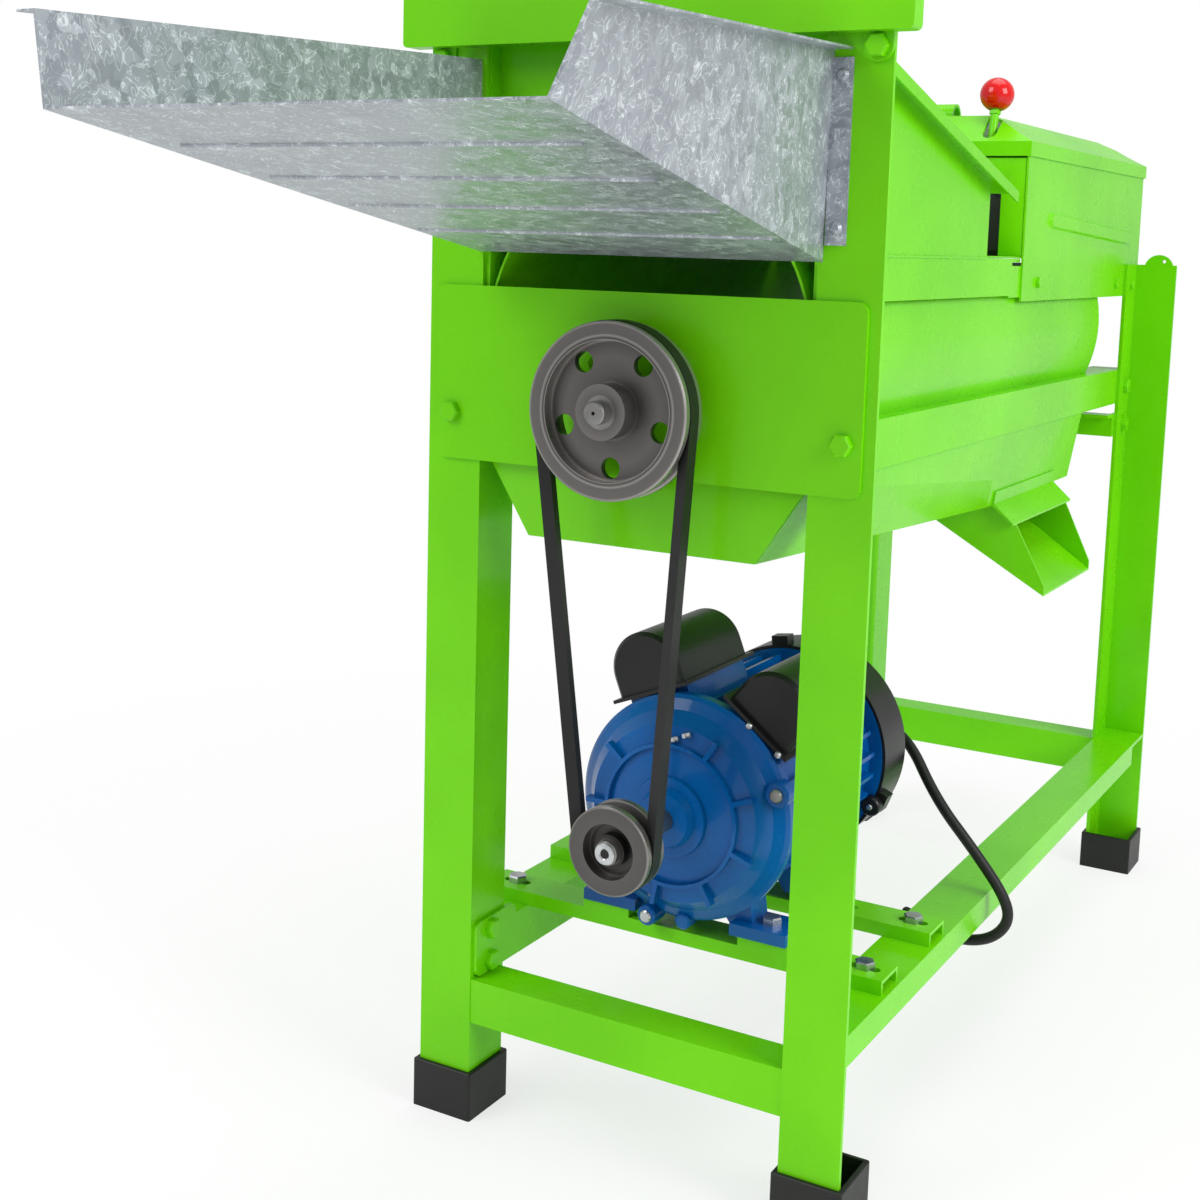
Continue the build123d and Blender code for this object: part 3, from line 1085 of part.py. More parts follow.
RIB_COUNT = 9
with BuildPart() as motor_front_shield:
    add(turned([(SHIELD_FACE - 8, SHAFT_BORE), (SHIELD_FACE - 8, 22), (SHIELD_FACE, 25), (SHIELD_FACE, 33),
                (SHIELD_FACE + 4, 34), (SHIELD_FACE + 10, 74), (SHIELD_FACE + 22, 84),
                (SHIELD_RIM, SHIELD_RADIUS - 3), (SHIELD_RIM + 3, SHIELD_RADIUS), (BODY_FRONT - 2,
                        SHIELD_RADIUS),
                (BODY_FRONT, SHIELD_RADIUS - 2), (BODY_FRONT, 70), (SHIELD_FACE + 30, 66),
                (SHIELD_FACE + 18, 38), (SHIELD_FACE + 24, 30), (SHIELD_FACE + 24, SHAFT_BORE)]))
    with BuildSketch(section(SHIELD_FACE + 3)):
        with Locations((MOTOR_X, MOTOR_Z)):
            with PolarLocations(56, RIB_COUNT, start_angle=20):
                Rectangle(44, 4)
            Circle(60)
            Circle(57, mode=Mode.SUBTRACT)
    extrude(amount=-8)
motor_front_shield.part.label = "motor_front_shield"

with BuildPart() as motor_body:
    add(turned([(BODY_FRONT, ROTOR_RADIUS + AIR_GAP), (BODY_FRONT, BODY_RADIUS), (BODY_REAR, BODY_RADIUS),
                (BODY_REAR, ROTOR_RADIUS + AIR_GAP)]))
    with Locations(*[motor_radial(360 * (k + 0.5) / FIN_COUNT, BODY_RADIUS - 1, (BODY_FRONT + BODY_REAR) / 2)
                     for k in range(FIN_COUNT)]):
        Box(BODY_REAR - BODY_FRONT - 16, 3.5, FIN_HEIGHT + 1, align=(Align.CENTER, Align.CENTER, Align.MIN))
    for s in (1, -1):
        for y in FOOT_BOLTS_Y:
            web_front = max(y - FOOT_WIDTH / 2, BODY_FRONT)
            with BuildSketch(section(web_front)):
                with BuildLine():
                    Polyline((MOTOR_X + s * 24, MOTOR_Z - 74), (MOTOR_X + s * 62, MOTOR_Z - 44),
                             (MOTOR_X + s * 57, MOTOR_BASE_Z + 30), (MOTOR_X + s * 60,
                                                                     MOTOR_BASE_Z + FOOT_THICK),
                             (MOTOR_X + s * 60, MOTOR_BASE_Z), (MOTOR_X + s * 44, MOTOR_BASE_Z), close=True)
                make_face()
            extrude(amount=web_front - y - FOOT_WIDTH / 2)
            with Locations((MOTOR_X + s * 69, y, MOTOR_BASE_Z)):
                Box(50, FOOT_WIDTH, FOOT_THICK, align=(Align.CENTER, Align.CENTER, Align.MIN))
            with Locations((MOTOR_X + s * FOOT_BOLT_X, y, MOTOR_BASE_Z)):
                Cylinder(BOLT_RADIUS + HOLE_GAP, 4 * FOOT_THICK, mode=Mode.SUBTRACT)
    for angle in CAP_ANGLES:
        with BuildSketch(motor_section(angle, BODY_FRONT + 4)):
            with Locations((0, BODY_RADIUS - 6)):
                Rectangle(CAP_WIDTH - 8, CAP_SEAT - BODY_RADIUS + 6, align=(Align.CENTER, Align.MIN))
        extrude(amount=-(CAP_REAR - BODY_FRONT - 8))
motor_body.part.label = "motor_body"

with BuildPart() as motor_rear_shield:
    add(turned([(BODY_REAR, SHAFT_BORE), (BODY_REAR, 92), (BODY_REAR + 12, 92), (BODY_REAR + 12, 30),
                (BODY_REAR + 16, 26), (BODY_REAR + 16, SHAFT_BORE)]))
motor_rear_shield.part.label = "motor_rear_shield"

# Cooling fan and its cover with radial slots
FAN_RADIUS = 76.0
BLADE_COUNT = 7
COVER_WALL = 2.5
FAN_SLOTS = 14
fan_front = BODY_REAR + 20
with BuildPart() as motor_fan:
    add(turned([(fan_front, SHAFT_BORE), (fan_front, 30), (fan_front + 2, FAN_RADIUS),
                (fan_front + 5, FAN_RADIUS),
                (fan_front + 5, 20), (FAN_COVER_REAR - 18, 18), (FAN_COVER_REAR - 18, SHAFT_BORE)]))
    with Locations(*[motor_radial(360 * k / BLADE_COUNT, 19, fan_front + 4) for k in range(BLADE_COUNT)]):
        Box(26, 3, FAN_RADIUS - 21, align=(Align.MIN, Align.CENTER, Align.MIN))
motor_fan.part.label = "motor_fan"

cover_inner = 92 + FIT
with BuildPart() as motor_fan_cover:
    add(turned([(BODY_REAR + 1, cover_inner), (BODY_REAR + 1, SHIELD_RADIUS),
                (FAN_COVER_REAR - 12, SHIELD_RADIUS),
                (FAN_COVER_REAR - 3, SHIELD_RADIUS - 5), (FAN_COVER_REAR,
                                                          SHIELD_RADIUS - 13), (FAN_COVER_REAR, 0),
                (FAN_COVER_REAR - COVER_WALL, 0), (FAN_COVER_REAR - COVER_WALL, SHIELD_RADIUS - 14),
                (FAN_COVER_REAR - 12, cover_inner)]))
    with Locations(facing_front(MOTOR_X, FAN_COVER_REAR, MOTOR_Z)):
        with PolarLocations(52, FAN_SLOTS):
            Box(46, 6, 4 * COVER_WALL, mode=Mode.SUBTRACT)
    with Locations(*[motor_radial(a, SHIELD_RADIUS - 1, BODY_REAR + 9) for a in (112, 232, 352)]):
        Box(14, 16, 9, align=(Align.CENTER, Align.CENTER, Align.MIN))
motor_fan_cover.part.label = "motor_fan_cover"

# Capacitor covers: D-shaped hoods on flat bases, along the motor
with BuildPart() as capacitor_covers:
    for angle in CAP_ANGLES:
        with BuildSketch(motor_section(angle, CAP_FRONT)):
            with Locations((0, CAP_SEAT + CAP_BASE + CAP_SIDE)):
                Circle(CAP_WIDTH / 2)
            with Locations((0, CAP_SEAT)):
                Rectangle(CAP_WIDTH, CAP_BASE + CAP_SIDE, align=(Align.CENTER, Align.MIN))
            with Locations((0, CAP_SEAT - CAP_WIDTH)):
                Rectangle(2 * CAP_WIDTH, CAP_WIDTH, align=(Align.CENTER, Align.MIN), mode=Mode.SUBTRACT)
        extrude(amount=-(CAP_REAR - CAP_FRONT))
    chamfer(capacitor_covers.faces().filter_by(Axis.Y).edges().filter_by(GeomType.CIRCLE), 3)
    for angle in CAP_ANGLES:
        with BuildSketch(motor_section(angle, CAP_FRONT - 5)):
            with Locations((0, CAP_SEAT)):
                Rectangle(CAP_WIDTH + 8, CAP_BASE, align=(Align.CENTER, Align.MIN))
        extrude(amount=-(CAP_REAR - CAP_FRONT + 10))
capacitor_covers.part.label = "capacitor_covers"

# Slotted rails under the motor, with a spacer block below each foot
RAIL_WIDTH = 36.0
RAIL_HEIGHT = 12.0
RAIL_WALL = 3.0
RAIL_LEFT = -185.0
RAIL_RIGHT = 189.0
SPACER_LENGTH = 44.0
rail_top = LOWER_RAIL_TOP + RAIL_HEIGHT
with BuildPart() as motor_rails:
    for y in FOOT_BOLTS_Y:
        with BuildSketch(side(RAIL_LEFT)):
            with Locations((y, rail_top)):
                Rectangle(RAIL_WIDTH, RAIL_HEIGHT, align=(Align.CENTER, Align.MAX))
            with Locations((y, rail_top - RAIL_WALL)):
                Rectangle(RAIL_WIDTH - 2 * RAIL_WALL, RAIL_HEIGHT, align=(Align.CENTER, Align.MAX),
                          mode=Mode.SUBTRACT)
        extrude(amount=RAIL_RIGHT - RAIL_LEFT)
    with BuildSketch(Plane.XY.offset(rail_top)):
        for y in FOOT_BOLTS_Y:
            with Locations((MOTOR_X - FOOT_BOLT_X, y), (MOTOR_X + FOOT_BOLT_X, y)):
                SlotOverall(64, 2 * (BOLT_RADIUS + HOLE_GAP))
            with Locations(*[(x, y) for x in END_BOLTS_X]):
                SlotOverall(26, 2 * (BOLT_RADIUS + HOLE_GAP))
    extrude(amount=-2 * RAIL_WALL, mode=Mode.SUBTRACT)
motor_rails.part.label = "motor_rails"

with BuildPart() as motor_spacers:
    with BuildSketch(Plane.XY.offset(rail_top)):
        for y in FOOT_BOLTS_Y:
            with Locations((MOTOR_X - FOOT_BOLT_X, y), (MOTOR_X + FOOT_BOLT_X, y)):
                Rectangle(SPACER_LENGTH, RAIL_WIDTH)
                Circle(BOLT_RADIUS + HOLE_GAP, mode=Mode.SUBTRACT)
    extrude(amount=MOTOR_BASE_Z - rail_top)
motor_spacers.part.label = "motor_spacers"

# Bolts of the frame, the plate, the hood and the bearings
plate_face = FRONT - PLATE_WALL
leg_out = INNER + LEG_WALL
rail_in = INNER - BAR_WALL
bolt_places = {
    PLATE_WALL + LEG_WALL: [facing_front(s * x, plate_face, z) for s in (1, -1)
                            for x, z in ((PLATE_BOLT_X, PLATE_BOLT_Z), (HOOD_BOLT_X, HOOD_BOLT_Z))],
    PLATE_WALL + BEARING_FLANGE_WALL: [facing_front(x, plate_face, z) for x, z in bearing_bolts],
    HOUSING_END_WALL + BEARING_FLANGE_WALL: [
        Plane(origin=(x, HOUSING_END + BEARING_FLANGE_WALL, z), x_dir=(1, 0, 0), z_dir=(0, 1, 0))
        for x, z in bearing_bolts],
    LEG_WALL + BAR_WALL: [facing_side(s * leg_out, y, mid_bolt_z, s) for s in (1, -1)
                          for y in (FRONT + LEG_FLANGE / 2, REAR - LEG_FLANGE / 2)]
                         + [facing_side(-rail_in, y, z, 1) for y, z in rail_bolts]
                         + [facing_side(s * rail_in, y, z, -s) for s in (1, -1) for y, z in member_bolts],
}
with BuildPart() as frame_bolts:
    for grip, places in bolt_places.items():
        with Locations(*places):
            add(hex_bolt(BOLT_AF, BOLT_HEAD, BOLT_RADIUS, grip, NUT_HEIGHT))
frame_bolts.part.label = "frame_bolts"

with BuildPart() as cover_bolts:
    with Locations(*[facing_side(s * INNER, y, z, s) for s in (1, -1) for y, z in cover_bolts_at[:2]]):
        add(hex_bolt(SMALL_BOLT_AF, SMALL_BOLT_HEAD, SMALL_BOLT_RADIUS, SHEET + BAR_WALL, SMALL_BOLT_HEAD))
    with Locations(*[facing_side(s * leg_out, *COVER_LEG_BOLT, s) for s in (1, -1)]):
        add(hex_bolt(SMALL_BOLT_AF, SMALL_BOLT_HEAD, SMALL_BOLT_RADIUS, LEG_WALL + SHEET + BAR_WALL,
                     SMALL_BOLT_HEAD))
cover_bolts.part.label = "cover_bolts"

foot_grip = FOOT_THICK + MOTOR_BASE_Z - rail_top + RAIL_WALL
with BuildPart() as motor_bolts:
    with Locations(*[(MOTOR_X + s * FOOT_BOLT_X, y, MOTOR_BASE_Z + FOOT_THICK) for s in (1,
            -1) for y in FOOT_BOLTS_Y]):
        add(hex_bolt(BOLT_AF, NUT_HEIGHT, BOLT_RADIUS, foot_grip, NUT_HEIGHT))
    with Locations(*[(x, y, rail_top) for x in END_BOLTS_X for y in FOOT_BOLTS_Y]):
        add(hex_bolt(BOLT_AF, NUT_HEIGHT, BOLT_RADIUS, RAIL_HEIGHT + BAR_WALL, NUT_HEIGHT))
motor_bolts.part.label = "motor_bolts"

# Cord: gland on the left capacitor cover, a free lead round the fan cover, a closed end
CORD_RADIUS = 5.0
GLAND_LENGTH = 16.0
GLAND_RADIUS = 9.0
END_CAP_RADIUS = 6.5
END_CAP_LENGTH = 20.0
gland_radius_out = CAP_SEAT + CAP_BASE + 12.0
gland_x = MOTOR_X + gland_radius_out * sin(radians(CAP_ANGLES[0]))
gland_z = MOTOR_Z + gland_radius_out * cos(radians(CAP_ANGLES[0]))
cord_start = CAP_REAR + GLAND_LENGTH
with BuildPart() as motor_gland:
    with BuildSketch(section(CAP_REAR + 5)):
        with Locations((gland_x, gland_z)):
            RegularPolygon(GLAND_RADIUS, 6, major_radius=False)
    extrude(amount=-5)
    with BuildSketch(section(CAP_REAR)):
        with Locations((gland_x, gland_z)):
            Circle(GLAND_RADIUS - 2)
    extrude(amount=-GLAND_LENGTH)
motor_gland.part.label = "motor_gland"

cord_route = [
    (gland_x, cord_start, gland_z), (gland_x, FRONT + 260, gland_z), (-66, FRONT + 303, 364), (-98,
            FRONT + 348, 325),
    (-78, FRONT + 397, 288), (-20, FRONT + 413, 280), (43, FRONT + 405, 292), (98, FRONT + 372, 288),
    (140, FRONT + 340, 242), (180, FRONT + 336, 202), (208, FRONT + 338, 167), (216, FRONT + 339, 144),
    (203, FRONT + 338, 124), (178, FRONT + 337, 115), (152, FRONT + 339, 117), (133, FRONT + 338, 123),
]


def bend_radii(route):
    """Largest arc at each inner point: 0.45 of the shorter run over the tangent of half the turn."""
    points = [Vector(*p) for p in route]
    radii = []
    for a, b, c in zip(points, points[1:], points[2:]):
        turn = radians((b - a).get_angle(c - b))
        radii.append(0.45 * min((b - a).length, (c - b).length) / tan(turn / 2))
    return radii


cord_radii = bend_radii(cord_route)
print("cord radii", [round(r) for r in cord_radii])
with BuildPart() as motor_cord:
    with BuildLine() as cord_line:
        FilletPolyline(*cord_route, radius=cord_radii)
    with BuildSketch(Plane(origin=cord_line.line @ 0, z_dir=cord_line.line % 0)):
        Circle(CORD_RADIUS)
    sweep()
motor_cord.part.label = "motor_cord"
print("cord volume", motor_cord.part.volume, "expected",
      pi * CORD_RADIUS ** 2 * sum(e.length for e in cord_line.edges()))

with BuildPart() as cord_end_cap:
    with BuildSketch(Plane(origin=cord_line.line @ 1, z_dir=cord_line.line % 1)):
        Circle(END_CAP_RADIUS)
    extrude(amount=END_CAP_LENGTH)
    fillet(cord_end_cap.edges().filter_by(GeomType.CIRCLE).sort_by(Axis.X)[0], 4)
cord_end_cap.part.label = "cord_end_cap"

pieces = [
    front_left_leg, front_right_leg, rear_left_leg, rear_right_leg, leg_boots, lower_front_crossbar,
    lower_rear_crossbar, lower_right_rail, lower_left_rail, mid_right_rail, mid_left_rail, upper_right_rail,
    upper_left_rail, cover_bars, rear_cross_member, front_plate, feed_tray, tray_rivets, feed_hood,
    feed_baffle,
    throat_right_wall, throat_left_wall, throat_roof, housing_right_side, housing_left_side, grain_hopper,
    grain_chute, chute_collar, concave, housing_end_plate, drum_shaft, shelling_drum, drum_paddles,
    drum_bearings,
    cover_right_wall, cover_left_wall, cover_roof, cover_end_plate, cob_gate, gate_stud, gate_knob, roof_lug,
    drum_pulley, motor_pulley, v_belt, motor_shaft, motor_front_shield, motor_body, motor_rear_shield,
    motor_fan,
    motor_fan_cover, capacitor_covers, motor_rails, motor_spacers, motor_gland, frame_bolts, cover_bolts,
    motor_bolts, motor_cord, cord_end_cap,
]
for piece in pieces:
    export_step(piece.part, f"parts/{piece.part.label}.step")
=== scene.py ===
# %% [markdown]
# # A belt-driven corn sheller
# The machine stands on an angle-iron stand. Ears slide down a galvanised tray to a pegged drum, an electric
# motor turns the drum through a V-belt, grain leaves by a side chute and bare cobs leave at the rear.
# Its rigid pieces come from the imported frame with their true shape, so most of the work here is finish:
# paint, zinc, cast iron and rubber. Some thin sheets near the drum, the motor's small fittings and its lead
# are modelled on top.

# %% Load the frame
import bmesh
import bpy
import json
from math import cos, pi, sin
from mathutils import Matrix, Vector


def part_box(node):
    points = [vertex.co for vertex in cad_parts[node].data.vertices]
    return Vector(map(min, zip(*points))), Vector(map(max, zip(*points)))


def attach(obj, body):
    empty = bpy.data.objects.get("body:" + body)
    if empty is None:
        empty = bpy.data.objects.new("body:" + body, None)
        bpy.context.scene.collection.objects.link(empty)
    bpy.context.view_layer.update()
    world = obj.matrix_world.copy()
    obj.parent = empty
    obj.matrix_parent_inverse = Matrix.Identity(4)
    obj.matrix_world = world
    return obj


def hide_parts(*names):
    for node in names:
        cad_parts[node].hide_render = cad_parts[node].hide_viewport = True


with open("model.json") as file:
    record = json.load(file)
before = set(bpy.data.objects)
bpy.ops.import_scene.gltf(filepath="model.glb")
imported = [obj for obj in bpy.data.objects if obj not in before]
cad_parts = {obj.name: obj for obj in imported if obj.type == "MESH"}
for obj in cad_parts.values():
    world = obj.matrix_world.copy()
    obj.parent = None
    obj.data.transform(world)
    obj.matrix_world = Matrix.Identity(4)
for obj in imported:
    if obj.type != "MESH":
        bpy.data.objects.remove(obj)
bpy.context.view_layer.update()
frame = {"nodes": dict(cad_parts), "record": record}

# %% [markdown]
# ## Camera
# The view fixes everything that follows, so it comes first. A real camera was close to the machine, which
# makes the tray loom large. A camera is a place, a direction and a lens. Blender could aim it with a
# constraint, but building its axes from yaw, pitch and roll states the view plainly and needs no target.

# %% Place the camera
CAMERA_AT = Vector((0.6214, -1.4165, 0.7421))
YAW, PITCH, ROLL = 0.52154, 0.13208, 0.02832
FOCAL_PIXELS, FRAME_PIXELS, SENSOR = 1702.88, 1200, 36.0
CENTRE_X, CENTRE_Y = 602.29, 468.02

forward = Vector((-sin(YAW) * cos(PITCH), cos(YAW) * cos(PITCH), -sin(PITCH)))
level = Vector((cos(YAW), sin(YAW), 0))
upright = level.cross(forward)
right = level * cos(ROLL) + upright * sin(ROLL)
up = upright * cos(ROLL) - level * sin(ROLL)
lens = bpy.data.cameras.new("camera")
lens.sensor_width = SENSOR
lens.lens = FOCAL_PIXELS / FRAME_PIXELS * SENSOR
lens.shift_x = (FRAME_PIXELS / 2 - CENTRE_X) / FRAME_PIXELS
lens.shift_y = (CENTRE_Y - FRAME_PIXELS / 2) / FRAME_PIXELS
camera = bpy.data.objects.new("camera", lens)
turn = Matrix((right, up, -forward)).transposed().to_4x4()
camera.matrix_world = Matrix.Translation(CAMERA_AT) @ turn
bpy.context.scene.collection.objects.link(camera)
bpy.context.scene.camera = camera
print("lens in millimetres:", round(lens.lens, 2))

# %% [markdown]
# ## Shader maths
# A finish is a small network of nodes. Written as plain Python arithmetic it reads like a formula, so a
# socket is wrapped in a class whose operators each add one Math node.

# %% Sockets that do arithmetic
class Wire:
    """An output socket in a network of nodes."""

    def __init__(self, network, socket):
        self.network, self.socket = network, socket

    def beside(self, name):
        """Another output of the same node."""
        return Wire(self.network, self.socket.node.outputs[name])

    def maths(self, operation, first, second):
        return self.network.node("ShaderNodeMath", settings={"operation": operation},
                                 sockets={0: first, 1: second})

    def __add__(self, other):
        return self.maths("ADD", self, other)

    def __sub__(self, other):
        return self.maths("SUBTRACT", self, other)

    def __rsub__(self, other):
        return self.maths("SUBTRACT", other, self)

    def __mul__(self, other):
        return self.maths("MULTIPLY", self, other)

    __radd__ = __add__
    __rmul__ = __mul__


print("operators on a socket: + - *")

# %% [markdown]
# ## Networks and finishes
# Every other node comes from one method, which takes its kind, its settings and what goes into its sockets.
# The same method serves the world's nodes further down. A finish adds a Principled shader, object
# coordinates, and short names for noise, ramp and bump, which nearly every surface here needs.

# %% A network of nodes
class Network:
    """The nodes of a material or of the world."""

    def __init__(self, tree):
        self.tree = tree

    def node(self, kind, output=0, settings=None, sockets=None):
        made = self.tree.nodes.new(kind)
        for name, value in (settings or {}).items():
            if name == "stops":
                elements = made.color_ramp.elements
                while len(elements) < len(value):
                    elements.new(1)
                for element, (position, colour) in zip(elements, value):
                    element.position = position
                    element.color = colour
            else:
                setattr(made, name, value)
        for name, value in (sockets or {}).items():
            self.feed(made.inputs[name], value)
        return Wire(self, made.outputs[output])

    def feed(self, socket, value):
        if isinstance(value, Wire):
            self.tree.links.new(value.socket, socket)
        else:
            socket.default_value = value


# %% A finish
class Finish(Network):
    """A material with a Principled shader. A constant goes on the shader's own socket."""

    def __init__(self, name, **constants):
        self.material = bpy.data.materials.new(name)
        self.material.use_nodes = True
        super().__init__(self.material.node_tree)
        self.surface = self.tree.nodes["Principled BSDF"]
        self.place = self.node("ShaderNodeTexCoord", "Object")
        self.set(**constants)

    def set(self, **inputs):
        for socket, value in inputs.items():
            self.feed(self.surface.inputs[socket.replace("_", " ")], value)

    def noise(self, scale, detail=2.0):
        return self.node("ShaderNodeTexNoise", "Fac",
                         sockets={"Vector": self.place, "Scale": scale, "Detail": detail})

    def ramp(self, factor, *stops):
        return self.node("ShaderNodeValToRGB", "Color", settings={"stops": stops}, sockets={"Fac": factor})

    def bump(self, height, strength, distance):
        return self.node("ShaderNodeBump", "Normal",
                         sockets={"Height": height, "Strength": strength, "Distance": distance})


def shade(red, green, blue):
    """A colour as a screen shows it, 0 to 255, in the linear values that shaders use."""
    linear = [((c / 255 + 0.055) / 1.055) ** 2.4 if c > 10 else c / 255 / 12.92 for c in (red, green, blue)]
    return linear + [1]


print("middle grey, 128 of 255, in linear values:", round(shade(128, 128, 128)[0], 3))

# %% [markdown]
# ## Gloss paint
# The stand and sheet metal wear one thick coat of sprayed enamel, and the motor's castings wear blue. A
# single colour would look like plastic. Sprayed enamel pools a little, thin sheet is never quite flat, and
# both bend the reflections, so slow noise drives the colour and a very shallow bump.

# %% Paint
POOLS, WAVES, GRAINS, SCUFFS = 5, 3.5, 240, 38


def paint(name, light, dark, roughness, gloss):
    """Noise scales count features in a metre: pools of colour, waves of the sheet, fine grains and scuffs."""
    made = Finish(name, Coat_Weight=gloss, Coat_Roughness=0.06, Specular_IOR_Level=0.16)
    cloud = made.noise(POOLS, 2)
    wavy = made.noise(WAVES, 1) + made.noise(GRAINS, 1) * 0.002
    made.set(Base_Color=made.ramp(cloud, (0.40, shade(*dark)), (0.62, shade(*light))),
             Roughness=made.noise(SCUFFS, 3) * 0.08 + roughness, Normal=made.bump(wavy, 0.35, 0.006))
    return made.material


green = paint("green_enamel", (117, 216, 10), (108, 205, 6), 0.24, 0.10)
blue = paint("blue_casting_paint", (0, 96, 172), (0, 70, 138), 0.24, 0.22)
print("paints:", green.name, blue.name)

# %% [markdown]
# ## Galvanised sheet
# Hot-dip zinc freezes in crystals called spangle, each turned its own way, so each has its own grey. Their
# borders catch the light in short curls, painted into the colour as highlights. Voronoi cells give the
# crystals. A noise that is folded back on itself by its own distortion gives the painted highlights: a narrow
# band of it is kept, and everything else is dropped.

# %% Zinc spangle
CRYSTALS, WANDER, WANDER_REACH, SWIRLS, CLOUDS = 125.0, 95.0, 0.012, 62.0, 34
BLACK, WHITE = (0, 0, 0, 1), (1, 1, 1, 1)

zinc = Finish("galvanised_spangle", Metallic=0.35, Specular_IOR_Level=0.35)
wander = zinc.node("ShaderNodeTexNoise", "Color",
                   sockets={"Vector": zinc.place, "Scale": WANDER, "Detail": 2.0})
drift = zinc.node("ShaderNodeVectorMath", "Vector", settings={"operation": "SCALE"},
                  sockets={"Vector": wander, "Scale": WANDER_REACH})
warped = zinc.node("ShaderNodeVectorMath", "Vector", sockets={0: zinc.place, 1: drift})
crystal = zinc.node("ShaderNodeTexVoronoi", "Color", sockets={"Vector": warped, "Scale": CRYSTALS})
tone = zinc.node("ShaderNodeSeparateColor", sockets={"Color": crystal})
swirl = zinc.node("ShaderNodeTexNoise", "Fac",
                  sockets={"Vector": zinc.place, "Scale": SWIRLS, "Detail": 1.0, "Distortion": 2.6})
# painted highlight: a narrow bright band of the folded noise
curl_glint = zinc.ramp(swirl, (0.50, BLACK), (0.535, WHITE), (0.57, BLACK))
# crystal grey and clouds are the zinc's own pattern; the curls add painted highlights to it
spangle_and_glint = tone * 0.30 + zinc.noise(CLOUDS, 3) * 0.34 + curl_glint * 0.36
zinc.set(Base_Color=zinc.ramp(spangle_and_glint, (0.10, shade(142, 148, 156)), (0.40, shade(166, 172, 179)),
                              (0.74, shade(216, 222, 228))),
         Roughness=tone * 0.20 + 0.28, Normal=zinc.bump(spangle_and_glint, 0.25, 0.0006))
print("zinc nodes:", len(zinc.tree.nodes))

# %% [markdown]
# ## Turned iron
# A pulley is turned on a lathe, which leaves fine rings round its axis. Its tones are also painted by the
# distance from that axis: a painted highlight on the corner of each edge, painted shade on the wall in the
# recess. So the distance drives both, once through a sine for the rings and once through a ramp for the
# tones.

# %% Iron that was turned
RING_TURNS = 5200                # radians in a metre, so the rings lie 1.2 mm apart
IRON_TINT = (1, 0.975, 0.955)    # a little warmer than grey


def turned_iron(name, axis, reach, tones):
    """tones pairs a share of reach, the pulley's radius, with the grey painted there, painted highlights and
    shade among them.
    """
    made = Finish(name, Metallic=0.8)
    across = made.node("ShaderNodeSeparateXYZ", "X", sockets={"Vector": made.place})
    x = across - axis.x
    z = across.beside("Z") - axis.z
    radius = made.node("ShaderNodeMath", settings={"operation": "SQRT"}, sockets={0: x * x + z * z})
    rings = made.node("ShaderNodeMath", settings={"operation": "SINE"}, sockets={0: radius * RING_TURNS})
    # the ramp's place by radius, with a little jitter; it puts painted highlights on edges and painted shade
    # in recesses
    tone_and_painted_light_place = radius * (1 / reach) + made.noise(45, 3) * 0.010 - 0.005
    stops = [(share, shade(*(grey * tint for tint in IRON_TINT))) for share, grey in tones]
    made.set(Base_Color=made.ramp(tone_and_painted_light_place, *stops),
             Roughness=made.noise(160, 2) * 0.14 + 0.26, Normal=made.bump(rings, 0.10, 0.0002))
    return made.material


print("rings apart in millimetres:", round(2 * pi / RING_TURNS * 1000, 2))

# %% The two pulleys
def middle(node):
    low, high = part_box(node)
    return (low + high) / 2


drum_axis, motor_axis = middle("drum_pulley"), middle("motor_pulley")
DRUM_REACH, MOTOR_REACH = 0.067, 0.035
# bright stops at the edges' corners are painted highlights; dark stops in the recesses are painted shade
DRUM_TONES = [(0.0, 146), (0.17, 132), (0.20, 104), (0.31, 118), (0.34, 90), (0.60, 104), (0.76, 90),
              (0.79, 158), (0.81, 66), (0.84, 150), (0.86, 104), (0.965, 108), (0.985, 160)]
MOTOR_TONES = [(0.0, 120), (0.28, 96), (0.32, 52), (0.50, 70), (0.57, 62), (0.61, 118), (0.64, 92),
               (0.95, 88), (0.98, 138)]
drum_iron = turned_iron("drum_pulley_iron", drum_axis, DRUM_REACH, DRUM_TONES)
motor_iron = turned_iron("motor_pulley_iron", motor_axis, MOTOR_REACH, MOTOR_TONES)
print("pulley centres apart in metres:", round((drum_axis - motor_axis).length, 3))

# %% [markdown]
# ## Bright steel, rubber and plastic
# Bolts and shafts are bare metal, and belt, boots, covers and knob are moulded. Both kinds need only a slow
# change of tone and an uneven gloss. The moulded ones also get a fine bump, as their moulds are grained, and
# the red knob wears a thin clear layer.

# %% Plain metal and moulded goods
def metal(name, low, high, roughness):
    made = Finish(name, Metallic=0.9)
    made.set(Base_Color=made.ramp(made.noise(60, 3), (0.3, shade(*low)), (0.7, shade(*high))),
             Roughness=made.noise(220, 2) * 0.14 + roughness)
    return made.material


def moulded(name, low, high, roughness, grain, **constants):
    made = Finish(name, Specular_IOR_Level=0.35, **constants)
    made.set(Base_Color=made.ramp(made.noise(9, 3), (0.3, shade(*low)), (0.7, shade(*high))),
             Roughness=made.noise(30, 2) * 0.12 + roughness,
             Normal=made.bump(made.noise(grain, 2), 0.12, 0.0003))
    return made.material


print("helpers: metal, moulded")

